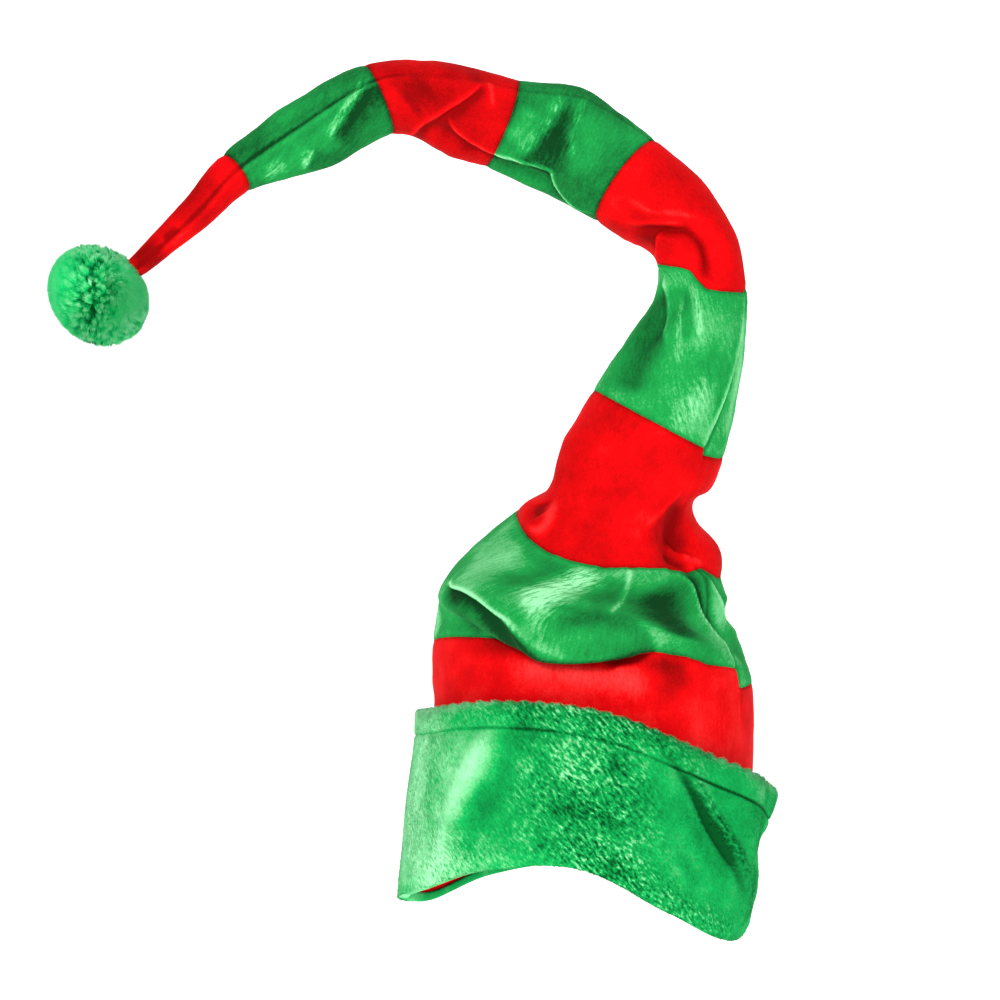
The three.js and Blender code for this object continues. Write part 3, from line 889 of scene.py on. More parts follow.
@dataclass(frozen=True, kw_only=True)
class Finish:
    """A napped cloth: its pile's dark, middle and light at three tones, also showing painted shade and
    highlights; its gloss and sheen.

    Its name is also its slot. Mottling and speckle are noises in cells to the metre, with weights.
    """

    name: str
    dark: Colour
    middle: Colour
    light: Colour
    sheen: Colour
    sheen_weight: float
    sheen_roughness: float = 0.4
    tones: tuple[float, float, float] = (0.05, 0.5, 0.95)
    roughness: float = 0.8
    specular: float = 0.05
    mottle: float = 0.3
    mottle_cells: float = 90.0
    mottle_detail: float = 4.0
    speckle: float = 0.2
    speckle_cells: float = 900.0
    speckle_roughness: float = 0.6

    def grained(self, nodes: NodeTree, place: Socket, tone: Socket) -> Socket:
        """Adds broad mottling and fine speckle to the nap's tone.

        Args:
            nodes: the material's nodes.
            place: the place on the piece.
            tone: the nap's tone.

        Returns:
            The grained tone.
        """
        broad = nodes.swing(nodes.noise(place, self.mottle_cells, self.mottle_detail))
        fine = nodes.swing(nodes.noise(place, self.speckle_cells, roughness=self.speckle_roughness))
        return nodes.plus(nodes.plus(tone, broad, self.mottle), fine, self.speckle)

    def shade(self, nodes: NodeTree, tone: Socket) -> None:
        """Colours the main shader by the nap's tone, and sets its gloss and sheen.

        Args:
            nodes: the material's nodes.
            tone: the nap's tone.
        """
        colours = [linear(colour) for colour in (self.dark, self.middle, self.light)]
        ramp = nodes.ramp(tone, list(zip(self.tones, colours)))
        nodes.link(ramp, nodes.shader.inputs["Base Color"])
        nodes.set(nodes.shader, {
            "Roughness": self.roughness,
            "Specular IOR Level": self.specular,
            "Sheen Weight": self.sheen_weight,
            "Sheen Roughness": self.sheen_roughness,
            "Sheen Tint": linear(self.sheen),
        })

    def material(self) -> bpy.types.Material:
        """Builds the material; each kind of cloth has its own."""
        raise NotImplementedError

    def dressing(self) -> Dressing:
        """Builds the material and pairs it with its slot."""
        return Dressing(self.material(), self.name)


@dataclass(frozen=True, kw_only=True)
class Velvet(Finish):
    """Short-piled velvet: its brush strokes, how they break up its painted highlights, and its fine bump.
    """

    sparkle: float
    streak: float
    tones: tuple[float, float, float] = (0.08, 0.5, 0.95)
    roughness: float = 0.85
    specular: float = 0.06
    mottle_cells: float = 75.0
    speckle_cells: float = 820.0
    speckle_roughness: float = 0.7
    stroke: float = 0.0019
    stroke_roughness: float = 0.7
    even_glow: float = 0.85
    bump_cells: float = 1500.0
    bump_detail: float = 3.0
    bump_strength: float = 0.3
    bump_depth: float = 0.0005

    def material(self) -> bpy.types.Material:
        """Builds the velvet: the nap's tone with its painted shade, the painted highlights broken up by
        strokes, then mottling, speckle and brush strokes, through a ramp.

        Returns:
            The material.
        """
        nodes = NodeTree(self.name)
        place = nodes.place()
        brush = nodes.attribute("brush", "Vector")
        strokes = nodes.swing(nodes.noise(brush, 1 / self.stroke, roughness=self.stroke_roughness))
        # glow holds painted highlights, broken up by the strokes and added to the nap's tone, which holds
        # painted shade
        sparkle = nodes.math("MULTIPLY_ADD", strokes, self.sparkle, self.even_glow)
        tone = nodes.plus(nodes.attribute("nap"), nodes.attribute("glow"), sparkle)
        tone = self.grained(nodes, place, tone)
        self.shade(nodes, nodes.plus(tone, strokes, self.streak))
        grain = nodes.noise(place, self.bump_cells, self.bump_detail)
        nodes.bump(grain, self.bump_strength, self.bump_depth)
        return nodes.material


@dataclass(frozen=True, kw_only=True)
class Plush(Finish):
    """Plush: the clumps of light and dark where its pile is ruffled, in metres, and their weights.

    wrapped draws the clumps out to slanting dashes round an upright axis at the given radius.
    """

    ruffle: float
    wrapped: bool
    radius: float = 0.107
    slope: float = 0.8
    dash_length: float = 0.0038
    dash_width: float = 0.0016
    clump: float = 0.0024
    patch: float = 0.011
    patch_gain: float = 1.6
    patch_floor: float = 0.2
    bump_strength: float = 0.5
    bump_depth: float = 0.0012

    def clumps(self, nodes: NodeTree) -> Socket:
        """Noise of the ruffled pile: slanting dashes round the hat's axis, or round clumps.

        Args:
            nodes: the material's nodes.

        Returns:
            The noise, about 0.5 on average.
        """
        if not self.wrapped:
            return nodes.noise(nodes.place(), 1 / self.clump)
        split = nodes.add("ShaderNodeSeparateXYZ")
        nodes.link(nodes.place(), split.inputs[0])
        x, y, up = split.outputs
        turn = nodes.math("ARCTAN2", x, nodes.math("MULTIPLY", y, -1.0))
        side = nodes.math("MULTIPLY", turn, self.radius)
        cosine, sine = math.cos(self.slope), math.sin(self.slope)
        side_along = nodes.math("MULTIPLY", side, cosine)
        side_across = nodes.math("MULTIPLY", side, sine)
        along = nodes.math("SUBTRACT", side_along, nodes.math("MULTIPLY", up, sine))
        across = nodes.math("ADD", side_across, nodes.math("MULTIPLY", up, cosine))
        joined = nodes.add("ShaderNodeCombineXYZ")
        nodes.link(nodes.math("DIVIDE", along, self.dash_length), joined.inputs[0])
        nodes.link(nodes.math("DIVIDE", across, self.dash_width), joined.inputs[1])
        return nodes.noise(joined.outputs[0], 1.0)

    def material(self) -> bpy.types.Material:
        """Builds the plush: the nap's tone with its painted shade and highlights, broad mottling and
        ruffled clumps, through a ramp.

        Returns:
            The material.
        """
        nodes = NodeTree(self.name)
        place = nodes.place()
        spread = nodes.noise(place, 1 / self.patch)
        patches = nodes.math("MULTIPLY_ADD", spread, self.patch_gain, self.patch_floor)
        standing = nodes.math("MULTIPLY", nodes.attribute("ruffle"), patches)
        ruffled = nodes.math("MULTIPLY", nodes.swing(self.clumps(nodes)), standing)
        tone = nodes.plus(nodes.attribute("nap"), ruffled, self.ruffle)
        self.shade(nodes, self.grained(nodes, place, tone))
        nodes.bump(ruffled, self.bump_strength, self.bump_depth)
        return nodes.material


# The dark and light ends of each ramp show painted shade and painted highlights as well as the cloth's own
# tones
RED_VELVET = Velvet(
    name="red_velvet", dark=(140, 0, 2), middle=(226, 3, 8), light=(255, 54, 54),
    sheen=(255, 90, 80), sheen_weight=0.05, speckle=0.34, sparkle=1.4, mottle=0.42, streak=0.1,
)
GREEN_VELVET = Velvet(
    name="green_velvet", dark=(6, 60, 23), middle=(28, 156, 72), light=(160, 246, 180),
    sheen=(110, 255, 160), sheen_weight=0.07, speckle=0.26, sparkle=3.8, mottle=0.24, streak=0.26,
)
CUFF_PLUSH = Plush(
    name="cuff_plush", dark=(0, 78, 30), middle=(16, 173, 84), light=(168, 247, 186),
    sheen=(130, 255, 175), sheen_weight=0.05, ruffle=2.0, wrapped=True,
)
POMPOM_PILE = Plush(
    name="pompom_pile", dark=(0, 84, 30), middle=(24, 224, 120), light=(150, 255, 184),
    sheen=(100, 255, 160), sheen_weight=0.04, ruffle=1.0, wrapped=False,
)


@dataclass(frozen=True)
class ClothFace:
    """A stripe's outer face on a grid: points, the nap's tone with painted shade, its streaky painted
    highlights and its strokes.
    """

    points: np.ndarray
    nap: np.ndarray
    glow: np.ndarray
    brush: np.ndarray

    def flat_cut(self) -> tuple[float, float, float]:
        """The flat cut of the stripe: its longer edge, its height and its area, in metres.

        Returns:
            Width, length and area of the trapezium that is sewn into the ring.
        """
        rings = closed_lengths(self.points, 1)
        length = row_steps(self.points).sum(axis=0).mean()
        width = max(rings[0], rings[-1], rings.mean())
        return width * MM, length * MM, rings.mean() * length * MM * MM


@dataclass(frozen=True)
class Band:
    """One stripe of velvet, from one section of the tube to another, with sizes in millimetres.

    crowd packs the rows towards the lower edge, the brush values scale and slant the nap's strokes,
    and the tone fields lighten or darken the nap: at random in patches, along the sewn edges, and as
    painted light and shade, lighter on raised cloth and the back seam's ridge and darker on sunk cloth
    and in the seam's groove.
    """

    node: str
    dye: Dye
    first: float
    last: float
    rows: int
    columns: int
    seed: int
    tone: float = 0.5
    held: Held = Held.GATHERED
    crowd: float = 1.0
    brush_round: float = 1.0
    brush_along: float = 0.34
    brush_slope: float = 0.0
    wall: float = 2.0
    wrinkle: float = 0.16
    wrinkle_length: float = 26.0
    small_share: float = 0.5
    small_length: float = 11.0
    flat_edge: float = 8.0
    edge_gap: float = 0.02
    seam_dip: float = 0.8
    seam_width: float = 1.8
    pucker: float = 0.35
    pucker_length: float = 9.0
    pucker_waves: int = 12
    pucker_seed: int = 300
    groove_depth: float = 1.2
    groove_width: float = 1.3
    ridge_height: float = 0.6
    ridge_width: float = 1.7
    ridge_side: float = 2.6
    patch_tone: float = 0.05
    patch_length: float = 45.0
    lift_painted_shading: float = 0.05
    ridge_painted_highlight: float = 0.08
    groove_painted_shade: float = 0.2
    edge_tone: float = 0.14
    edge_tone_width: float = 1.6

    def surface(self, tube: HatTube) -> ClothFace:
        """Works out the stripe's outer face on a grid of rows up the tube and columns round it.

        The folded cloth is moved along its normal by random wrinkles, dips at both sewn edges with
        small puckers, and a groove with a ridge beside it along the back seam.

        Args:
            tube: the hat's tube.

        Returns:
            The face, with the tones of its nap, painted light and shade among them.
        """
        rng = np.random.default_rng(self.seed)
        ring = np.linspace(0, FULL_TURN, self.columns, endpoint=False)[None, :]
        share = (np.linspace(0, 1, self.rows) ** self.crowd)[:, None]
        low = self.first + tube.stripe_edge(self.first, ring)
        high = self.last + tube.stripe_edge(self.last, ring)
        section = low + (high - low) * share
        angle = np.broadcast_to(ring, section.shape)
        points, glow, shade = tube.cloth(section, angle)
        along = np.concatenate([np.zeros((1, self.columns)), np.cumsum(row_steps(points), axis=0)])
        edge = np.minimum(along, along[-1:] - along)
        girth = closed_lengths(points, 1)
        mean_girth = girth.mean()
        middle = along.mean(axis=1, keepdims=True)
        normal = grid_normals(points)
        outward = tube.directions(section, angle).outward

        lift = self.wrinkle * waves(rng, angle, middle, mean_girth, self.wrinkle_length)
        small = waves(rng, angle, middle, mean_girth, self.small_length)
        lift += self.small_share * self.wrinkle * small
        lift *= 1 - bell(edge / self.flat_edge)
        low_dip = self.edge_dip(self.first, angle, girth[0])
        high_dip = self.edge_dip(self.last, angle, girth[-1])
        dip = np.where(along < along[-1:] / 2, low_dip, high_dip) * bell(edge / self.seam_width)
        radius = girth[:, None] / FULL_TURN
        side = np.radians(turn_between(np.degrees(angle), tube.seam_angle(section))) * radius
        strength = np.interp(section, SEAM_FADE_SECTIONS, SEAM_FADE)
        groove = strength * bell(side / self.groove_width)
        ridge = strength * bell((side + self.ridge_side) / self.ridge_width)
        lift += self.ridge_height * ridge - self.groove_depth * groove
        points = points + lift[..., None] * normal - dip[..., None] * outward

        up = unit(np.gradient(points, axis=0))
        points[0] += self.edge_gap * up[0]
        points[-1] -= self.edge_gap * up[-1]
        patches = waves(rng, angle, middle, mean_girth, self.patch_length)
        # The nap's tone: the creases' painted shade and random patches, then painted light and shade from
        # relief: raised cloth and the seam's ridge lighter, sunk cloth and the seam's groove darker
        nap = self.tone + shade + self.patch_tone * patches
        nap += self.lift_painted_shading * lift + self.ridge_painted_highlight * ridge - self.groove_painted_shade * groove
        nap -= self.edge_tone * bell(edge / self.edge_tone_width)
        return ClothFace(points, nap, glow, self.strokes(angle, middle, mean_girth / FULL_TURN))

    def strokes(self, angle: np.ndarray, along: np.ndarray, radius: float) -> np.ndarray:
        """Places for the noise of the brush strokes: the stripe as a straight round tube.

        The tube is twisted by the strokes' slope and scaled round and along, so that the noise is
        drawn out in the strokes' direction and closes round the tube.

        Args:
            angle: angles in radians.
            along: distance along the tube in millimetres.
            radius: the stripe's mean radius in millimetres.

        Returns:
            Places in metres, with three numbers on the last axis.
        """
        turn = angle - self.brush_slope * along / radius
        wide = radius * self.brush_round
        far = np.broadcast_to(along * self.brush_along, turn.shape)
        return np.stack([wide * np.cos(turn), wide * np.sin(turn), far], axis=-1) * MM

    def edge_dip(self, section: float, angle: np.ndarray, girth: float) -> np.ndarray:
        """Depth of a sewn edge's dip at each angle, the same for the two stripes that share the edge.

        Args:
            section: the edge's section number, which seeds its puckers.
            angle: angles in radians.
            girth: the edge's length in millimetres.

        Returns:
            Depths in millimetres.
        """
        rng = np.random.default_rng(int(section) + self.pucker_seed)
        puckers = waves(rng, angle, np.zeros(1), girth, self.pucker_length, self.pucker_waves)
        return self.seam_dip * (1 + self.pucker * puckers)

    def build(self, tube: HatTube, dressing: Dressing, below: str) -> bpy.types.Object:
        """Args:
            tube: the hat's tube.
            dressing: the velvet.
            below: name of the stripe that it is sewn to at its lower edge, if any; not used.

        Returns:
            The piece.
        """
        face = self.surface(tube)
        # nap holds the tone with painted shade and solid painted highlights, glow the brushed painted
        # highlights
        tones = {"nap": face.nap, "glow": face.glow, "brush": face.brush}
        quads = tube_faces(self.rows, self.columns)
        piece = mesh_object(f"{self.node}_cloth", face.points.reshape(-1, 3), quads, tones)
        solid = piece.modifiers.new("wall", "SOLIDIFY")
        solid.thickness = self.wall * MM
        solid.offset = -1.0
        dressing.put_on(piece, self.node)
        width, length, area = face.flat_cut()
        LOG.info("%s: flat cut %.0f x %.0f mm", piece.name, width / MM, length / MM)
        return piece


BANDS = (
    Band("red_band_1", Dye.RED, 0, 3, 76, 256, 11, held=Held.STRETCHED),
    Band("green_band_1", Dye.GREEN, 3, 5, 110, 256, 12, 0.49, crowd=1.2, brush_slope=0.75),
    Band("red_band_2", Dye.RED, 5, 8, 62, 256, 13, 0.4),
    Band("green_band_2", Dye.GREEN, 8, 11, 62, 256, 14, 0.51, brush_slope=-0.5),
    Band("red_band_3", Dye.RED, 11, 14, 58, 256, 15, 0.42),
    Band("green_band_3", Dye.GREEN, 14, 16, 60, 128, 16, 0.31, brush_round=0.34, brush_along=1.0),
    Band("red_band_4", Dye.RED, 16, 18, 60, 128, 17, 0.3),
    Band("green_band_4", Dye.GREEN, 18, 20, 58, 128, 18, 0.3, brush_slope=-0.5),
    Band("red_band_5", Dye.RED, 20, 22, 50, 64, 19, 0.37, wrinkle=0.1),
)


@dataclass(frozen=True)
class Wave:
    """A wave of the cuff about an angle: belly swells it half-way up, and flare at its free edge."""

    angle: float
    spread: float
    belly: float
    flare: float


CUFF_WAVES = (
    Wave(222, 22, 4.0, 3.0), Wave(243, 16, -2.0, -1.5), Wave(270, 26, 2.6, 2.0), Wave(308, 14, -2.6, -2.0),
    Wave(328, 18, 4.5, 3.5), Wave(356, 26, -2.0, 3.0), Wave(90, 70, 2.6, 2.0), Wave(184, 26, -0.6, -1.8),
)


@dataclass(frozen=True)
class CuffFold:
    """A fold or brushed patch of the cuff about an angle and a share of its height.

    drift turns it by so many degrees over the whole height, lift moves the cloth outwards, tone makes
    the nap lighter or darker, as a brushed patch or, where it follows a dent or a raised fold, as painted
    shade or a painted highlight, and ruffle stands the pile up in clumps.
    """

    angle: float
    height: float
    spread: float
    reach: float
    drift: float = 0.0
    lift: float = 0.0
    tone: float = 0.0
    ruffle: float = 0.0


# Dark tones in dents are painted shade, light tones on raised folds painted highlights
CUFF_FOLDS = (
    CuffFold(200, 0.5, 46, 1.2, tone=0.3, ruffle=0.42),
    CuffFold(212, 0.55, 8, 0.4, tone=-0.12),
    CuffFold(229, 0.5, 6.5, 0.64, drift=22, lift=2.6, tone=0.28),
    CuffFold(240, 0.52, 9, 0.55, drift=22, lift=-1.8, tone=-0.16),
    CuffFold(225, 0.06, 26, 0.24, tone=0.16, ruffle=0.6),
    CuffFold(270, 0.5, 40, 0.95, tone=-0.09, ruffle=1.0),
    CuffFold(262, 0.72, 16, 0.3, tone=0.1),
    CuffFold(276, 0.42, 14, 0.3, tone=-0.08),
    CuffFold(277, 0.7, 5, 0.13, tone=-0.24),
    CuffFold(268, 0.34, 17, 0.09, tone=-0.18),
    CuffFold(280, 0.07, 14, 0.14, tone=-0.12),
    CuffFold(270, 0.95, 64, 0.14, tone=-0.06, ruffle=0.8),
    CuffFold(286, 0.05, 36, 0.2, tone=-0.1, ruffle=0.9),
    CuffFold(302, 0.45, 11, 0.5, drift=-24, ruffle=-0.6),
    CuffFold(310.5, 0.6, 4.2, 0.42, drift=-58, lift=-3.0, tone=-0.7),
    CuffFold(316, 0.6, 5.5, 0.42, drift=-58, lift=2.4, tone=-0.12, ruffle=0.9),
    CuffFold(301, 0.6, 9, 0.5, drift=-50, lift=1.6, tone=-0.04, ruffle=-0.6),
    CuffFold(316, 0.05, 24, 0.16, ruffle=0.7),
    CuffFold(322, 0.4, 30, 0.9, tone=-0.1),
    CuffFold(0, 0.7, 28, 0.32, lift=-4.5),
    CuffFold(350, 0.2, 34, 0.3, lift=1.6),
)

# How tightly the hem's stitches draw the cuff in, by angle
STITCH_ANGLES = (0, 180, 225, 240, 290, 305, 335, 360)
STITCH_PULLS = (0.7, 0.4, 0.3, 0.6, 0.5, 1.0, 1.0, 0.7)

# Spots up the cuff's outside: shares of its height, and lengths in millimetres between them
CUFF_SHARES = (0, 0, 0.25, 0.5, 0.78, 0.84, 0.9, 0.97, 1.0)
CUFF_SPOT_LENGTHS = (3.0, 22, 23, 24, 6, 6, 9, 9, 7)

# Directions about the pompom's middle: its low rim, painted pale as a highlight; the axis of its
# combing; and the side towards which its pile is painted darker, the far side painted lighter
LOW_RIGHT = unit(np.array([0.75, 0.1, -0.66]))
COMBED_ROUND = np.array([0.25, -0.9, 0.3])
PAINTED_SHADE_SIDE = unit(np.array([-0.85, -0.2, 0.1]))


@dataclass(frozen=True)
class Tufts:
    """Slim closed tufts, one a row: root, tip, normal of the pile, tones and ruffle, in millimetres.

    Each has a three-cornered foot round its root and one tip. It is shaded mostly with the normal of
    the pile that it belongs to, so that many of them read as one soft face.
    """

    root: np.ndarray
    tip: np.ndarray
    normal: np.ndarray
    root_tone: np.ndarray
    tip_tone: np.ndarray
    ruffle: np.ndarray
    width: float
    own_shading: float = 0.35
    upright: float = 0.9

    def piece(self, name: str, rng: np.random.Generator) -> bpy.types.Object:
        """Makes all the tufts as one mesh.

        Args:
            name: the piece's name.
            rng: the seeded source of the feet's turns.

        Returns:
            The piece.
        """
        count = len(self.root)
        direction = unit(self.tip - self.root)
        steep = np.abs(direction[:, 2:3]) >= self.upright
        helper = np.where(steep, [[1.0, 0.0, 0.0]], [[0.0, 0.0, 1.0]])
        side = unit(np.cross(direction, helper))[:, None]
        other = np.cross(direction, side[:, 0])[:, None]
        turn = (rng.uniform(0, FULL_TURN, count)[:, None] + np.arange(3) * FULL_TURN / 3)[..., None]
        corner = np.cos(turn) * side + np.sin(turn) * other
        feet = self.root[:, None] + self.width / math.sqrt(3) * corner
        points = np.concatenate([feet, self.tip[:, None]], axis=1).reshape(-1, 3)
        pattern = np.array([[0, 1, 3], [1, 2, 3], [2, 0, 3], [2, 1, 0]])
        faces = (np.arange(count)[:, None, None] * 4 + pattern).reshape(-1, 3)
        low = np.repeat(self.root_tone[:, None], 3, axis=1)
        tone = np.concatenate([low, self.tip_tone[:, None]], axis=1)
        tones = {"nap": tone.ravel(), "ruffle": np.repeat(self.ruffle, 4)}
        piece = mesh_object(name, points, faces, tones)
        shading = np.repeat(unit(self.normal + self.own_shading * direction), 4, axis=0)
        piece.data.normals_split_custom_set_from_vertices(shading.tolist())
        return piece


@dataclass(frozen=True)
class CuffPile:
    """The cuff's pile: sizes in millimetres, headings in radians, leans in degrees, and tones, with painted
    shade at the roots and in the stitched groove.

    Fields of the free edge, the lower fold and the stitched groove act over some spots of the outline.
    """

    batches: int = 3
    tufts: int = 27000
    width: float = 0.6
    length: float = 1.5
    lengths: Range = (0.7, 1.2)
    edge_longer: float = 0.4
    fold_shorter: float = 0.5
    groove_shorter: float = 0.85
    sunk: float = 0.25
    sway: float = 0.7
    sway_length: float = 46.0
    clump_sway: float = 0.1
    ruffled_sway: float = 0.7
    clump_length: float = 7.0
    heading_spread: float = 0.2
    lean: float = 76.0
    ruffle_rise: float = 12.0
    edge_rise: float = 34.0
    lean_spread: float = 0.08
    edge_spots: float = 1.6
    groove_spots: float = 0.35
    tone_spread: float = 0.03
    edge_tone: float = 0.14
    groove_painted_shade: float = 0.6
    root_tone: float = 0.05
    ruffle_tone: float = 0.05
    tip_tone: float = 0.05
    first_spot: float = 0.3
    spot_step: float = 0.01
    field_seed: int = 40


@dataclass(frozen=True)
class Cuff:
    """The turned-up plush cuff: a folded strip with a stitched hem roll, and its pile of tufts.

    Sizes are in millimetres. Fields that end in spot number places along the outline, from the fold.
    """

    tube: HatTube
    pile: CuffPile = CuffPile()
    gap: float = 0.3
    velvet: float = 2.0
    wall: float = 3.0
    stand: float = 7.5
    hem_inside: float = 2.0
    roll_height: float = 14.0
    roll_thickness: float = 4.4
    groove_depth: float = 1.5
    groove_width: float = 0.9
    scallop: float = 0.6
    scallops: int = 70
    fold_fade: float = 0.15
    stitch_spot: float = 5.0
    edge_spot: float = 8.0
    roll_spot: int = 9
    strip_spot: float = 12.0
    columns: int = 300
    rows_outside: int = 9
    rows_inside: int = 4
    girth: float = 640.0
    tall: float = 90.0
    tone: float = 0.51
    slow_tone: float = 0.035
    slow_length: float = 42.0
    quick_tone: float = 0.025
    quick_length: float = 15.0
    under_pile_painted_shade: float = 0.04
    stitch_painted_shade: float = 0.5
    stitch_spots: float = 0.3
    seed: int = 71

    def wave(self, column: str, angle: np.ndarray) -> np.ndarray:
        """Swelling of the cuff, belly or flare, at each angle in radians, in millimetres."""
        degrees = np.degrees(angle)
        return sum(getattr(w, column) * hump(turn_between(degrees, w.angle) / w.spread) for w in CUFF_WAVES)

    def folded(self, column: str, share: np.ndarray, angle: np.ndarray) -> np.ndarray:
        """Sum of one column of the table of folds at shares of the height and angles in radians.

        Args:
            column: the column's name.
            share: shares of the height.
            angle: angles in radians.

        Returns:
            The sum at each place.
        """
        total = np.zeros(np.shape(share))
        for fold in CUFF_FOLDS:
            up = share - fold.height
            turn = turn_between(np.degrees(angle), fold.angle + fold.drift * up)
            total += getattr(fold, column) * hump(turn / fold.spread) * hump(up / fold.reach)
        return total

    def ruffle(self, share: np.ndarray, angle: np.ndarray) -> np.ndarray:
        """How ruffled the pile is at shares of the height and angles in radians, from 0 to 1."""
        return np.clip(self.folded("ruffle", share, angle), 0, 1)

    def field(self, rng: np.random.Generator, share: np.ndarray, angle: np.ndarray,
              length: float) -> np.ndarray:
        """A smooth random field over the cuff, of so many millimetres to a wave."""
        return waves(rng, angle, share * self.tall, self.girth, length)

    def height(self, angle: np.ndarray) -> np.ndarray:
        """Height of the cuff from the velvet's edge to the free edge, in millimetres."""
        rim = self.tube.opening_height("rim", angle) + CUFF_UNDER
        return self.tube.opening_height("cuff_top", angle) - rim

    def outline(self, angle: np.ndarray) -> tuple[np.ndarray, np.ndarray]:
        """The cuff's section at each angle, from the fold up the outside, over the roll and back inside.

        Args:
            angle: angles in radians.

        Returns:
            out, the distance from the velvet's outer face, and up, the height above its edge, each
            with one row a spot of the outline.
        """
        belly = self.wave("belly", angle)
        height = self.height(angle)
        stand = self.stand + self.wave("flare", angle)
        face = self.gap + self.wall
        groove = height - self.roll_height
        top = height + self.scallop * np.cos(self.scallops * angle)
        hem = -self.velvet - self.gap
        spots = (
            (self.gap + 0.6 * self.wall, -CUFF_UNDER),
            (face, -0.4 * CUFF_UNDER),
            (face + 0.35 * self.stand + 0.5 * belly, 0.25 * height),
            (face + 0.7 * self.stand + belly, 0.5 * height),
            (face + 0.95 * stand, groove - 0.4 * self.roll_height),
            (face + stand, groove),
            (stand + 0.88 * self.roll_thickness, groove + 0.35 * self.roll_height),
            (stand + 0.84 * self.roll_thickness, height - 0.2 * self.roll_height),
            (stand + 0.55 * self.roll_thickness, top),
            (stand, height - 0.12 * self.roll_height),
            (stand, groove),
            (self.gap + 0.7 * self.stand + belly, 0.5 * height),
            (self.gap, 0.12 * height),
            (self.gap, -self.gap),
            (hem, -self.gap),
            (hem, self.hem_inside),
            (hem - 0.6 * self.wall, self.hem_inside),
            (hem - 0.6 * self.wall, -0.5 * CUFF_UNDER),
            (hem, -CUFF_UNDER),
        )
        one = np.ones(np.shape(angle))
        return np.array([out * one for out, _ in spots]), np.array([up * one for _, up in spots])

    def surface(self, place: np.ndarray, angle: np.ndarray) -> np.ndarray:
        """Points of the cuff: its outline carried round the velvet, as a closed spline through its spots.

        Args:
            place: place along the outline, in spots with fractions.
            angle: angles in radians, of the same shape.

        Returns:
            Points in millimetres.
        """
        out_spots, up_spots = self.outline(angle)
        count = len(out_spots)
        first = np.floor(place).astype(int)
        out = np.zeros(place.shape)
        up = np.zeros(place.shape)
        for i, weight in enumerate(spline_weights(place - first)):
            index = (first - 1 + i) % count
            out += weight * np.take_along_axis(out_spots, index[None], 0)[0]
            up += weight * np.take_along_axis(up_spots, index[None], 0)[0]
        share = up / self.height(angle)
        spot = np.mod(place, count)
        turned_up = np.where(spot < self.strip_spot, 1.0, 0.0)
        rising = hump(1 - np.minimum(share / self.fold_fade, 1))
        out += turned_up * self.folded("lift", share, angle) * rising
        from_groove = up - self.height(angle) + self.roll_height
        depth = np.where(spot < self.edge_spot, self.groove_depth * self.stitching(angle), 0)
        out -= depth * bell(from_groove / self.groove_width)
        section = np.maximum(share, 0) * CUFF_SECTIONS
        local = self.tube.directions(section, angle)
        point = self.tube.smooth(section, angle) + out[..., None] * local.outward
        return point + np.minimum(up, 0)[..., None] * local.along

    @staticmethod
    def stitching(angle: np.ndarray) -> np.ndarray:
        """How tightly the hem's stitches draw the cloth in at each angle in radians, from 0 to 1."""
        return np.interp(np.mod(np.degrees(angle), 360), STITCH_ANGLES, STITCH_PULLS)

    @staticmethod
    def share_of(place: np.ndarray) -> np.ndarray:
        """Share of the cuff's height at a place along its outline, on the outside."""
        return np.interp(place, np.arange(len(CUFF_SHARES)), CUFF_SHARES)

    def stitched(self, place: np.ndarray, angle: np.ndarray, spots: float) -> np.ndarray:
        """How much of the stitched groove is at places along the outline, over so many spots."""
        return hump((place - self.stitch_spot) / spots) * self.stitching(angle)

    def nap(self, share: np.ndarray, angle: np.ndarray) -> np.ndarray:
        """Tone of the brushed nap at shares of the height: slow waves plus the table of folds, with its
        painted shade and highlights.

        Args:
            share: shares of the height.
            angle: angles in radians.

        Returns:
            The tones.
        """
        rng = np.random.default_rng(self.seed)
        slow = self.field(rng, share, angle, self.slow_length)
        quick = self.field(rng, share, angle, self.quick_length)
        total = self.tone + self.slow_tone * slow + self.quick_tone * quick
        return total + self.folded("tone", share, angle)

    def build(self, dressing: Dressing) -> list[bpy.types.Object]:
        """Args:
            dressing: the plush.

        Returns:
            The pieces, the cloth first.
        """
        ring = np.linspace(0, FULL_TURN, self.columns, endpoint=False)
        spots = len(self.outline(ring)[0])
        rows_inside = (spots - self.roll_spot) * self.rows_inside
        outside = np.linspace(0, self.roll_spot, self.roll_spot * self.rows_outside, endpoint=False)
        inside = np.linspace(self.roll_spot, spots, rows_inside, endpoint=False)
        place, angle = np.meshgrid(np.concatenate([outside, inside]), ring, indexing="ij")
        points = self.surface(place, angle)
        share = self.share_of(place)
        stitched = self.stitched(place, angle, self.stitch_spots)
        # The cloth is painted darker under the pile and in the stitched groove, as shade
        nap = self.nap(share, angle) - self.under_pile_painted_shade - self.stitch_painted_shade * stitched
        tones = {"nap": nap, "ruffle": self.ruffle(share, angle)}
        faces = tube_faces(len(place), self.columns, closed=True)
        cloth = mesh_object("cuff_cloth", points.reshape(-1, 3), faces, tones)
        dressing.put_on(cloth, "cuff")
        piles = [self.pile_piece(number, dressing) for number in range(self.pile.batches)]
        return [cloth, *piles]

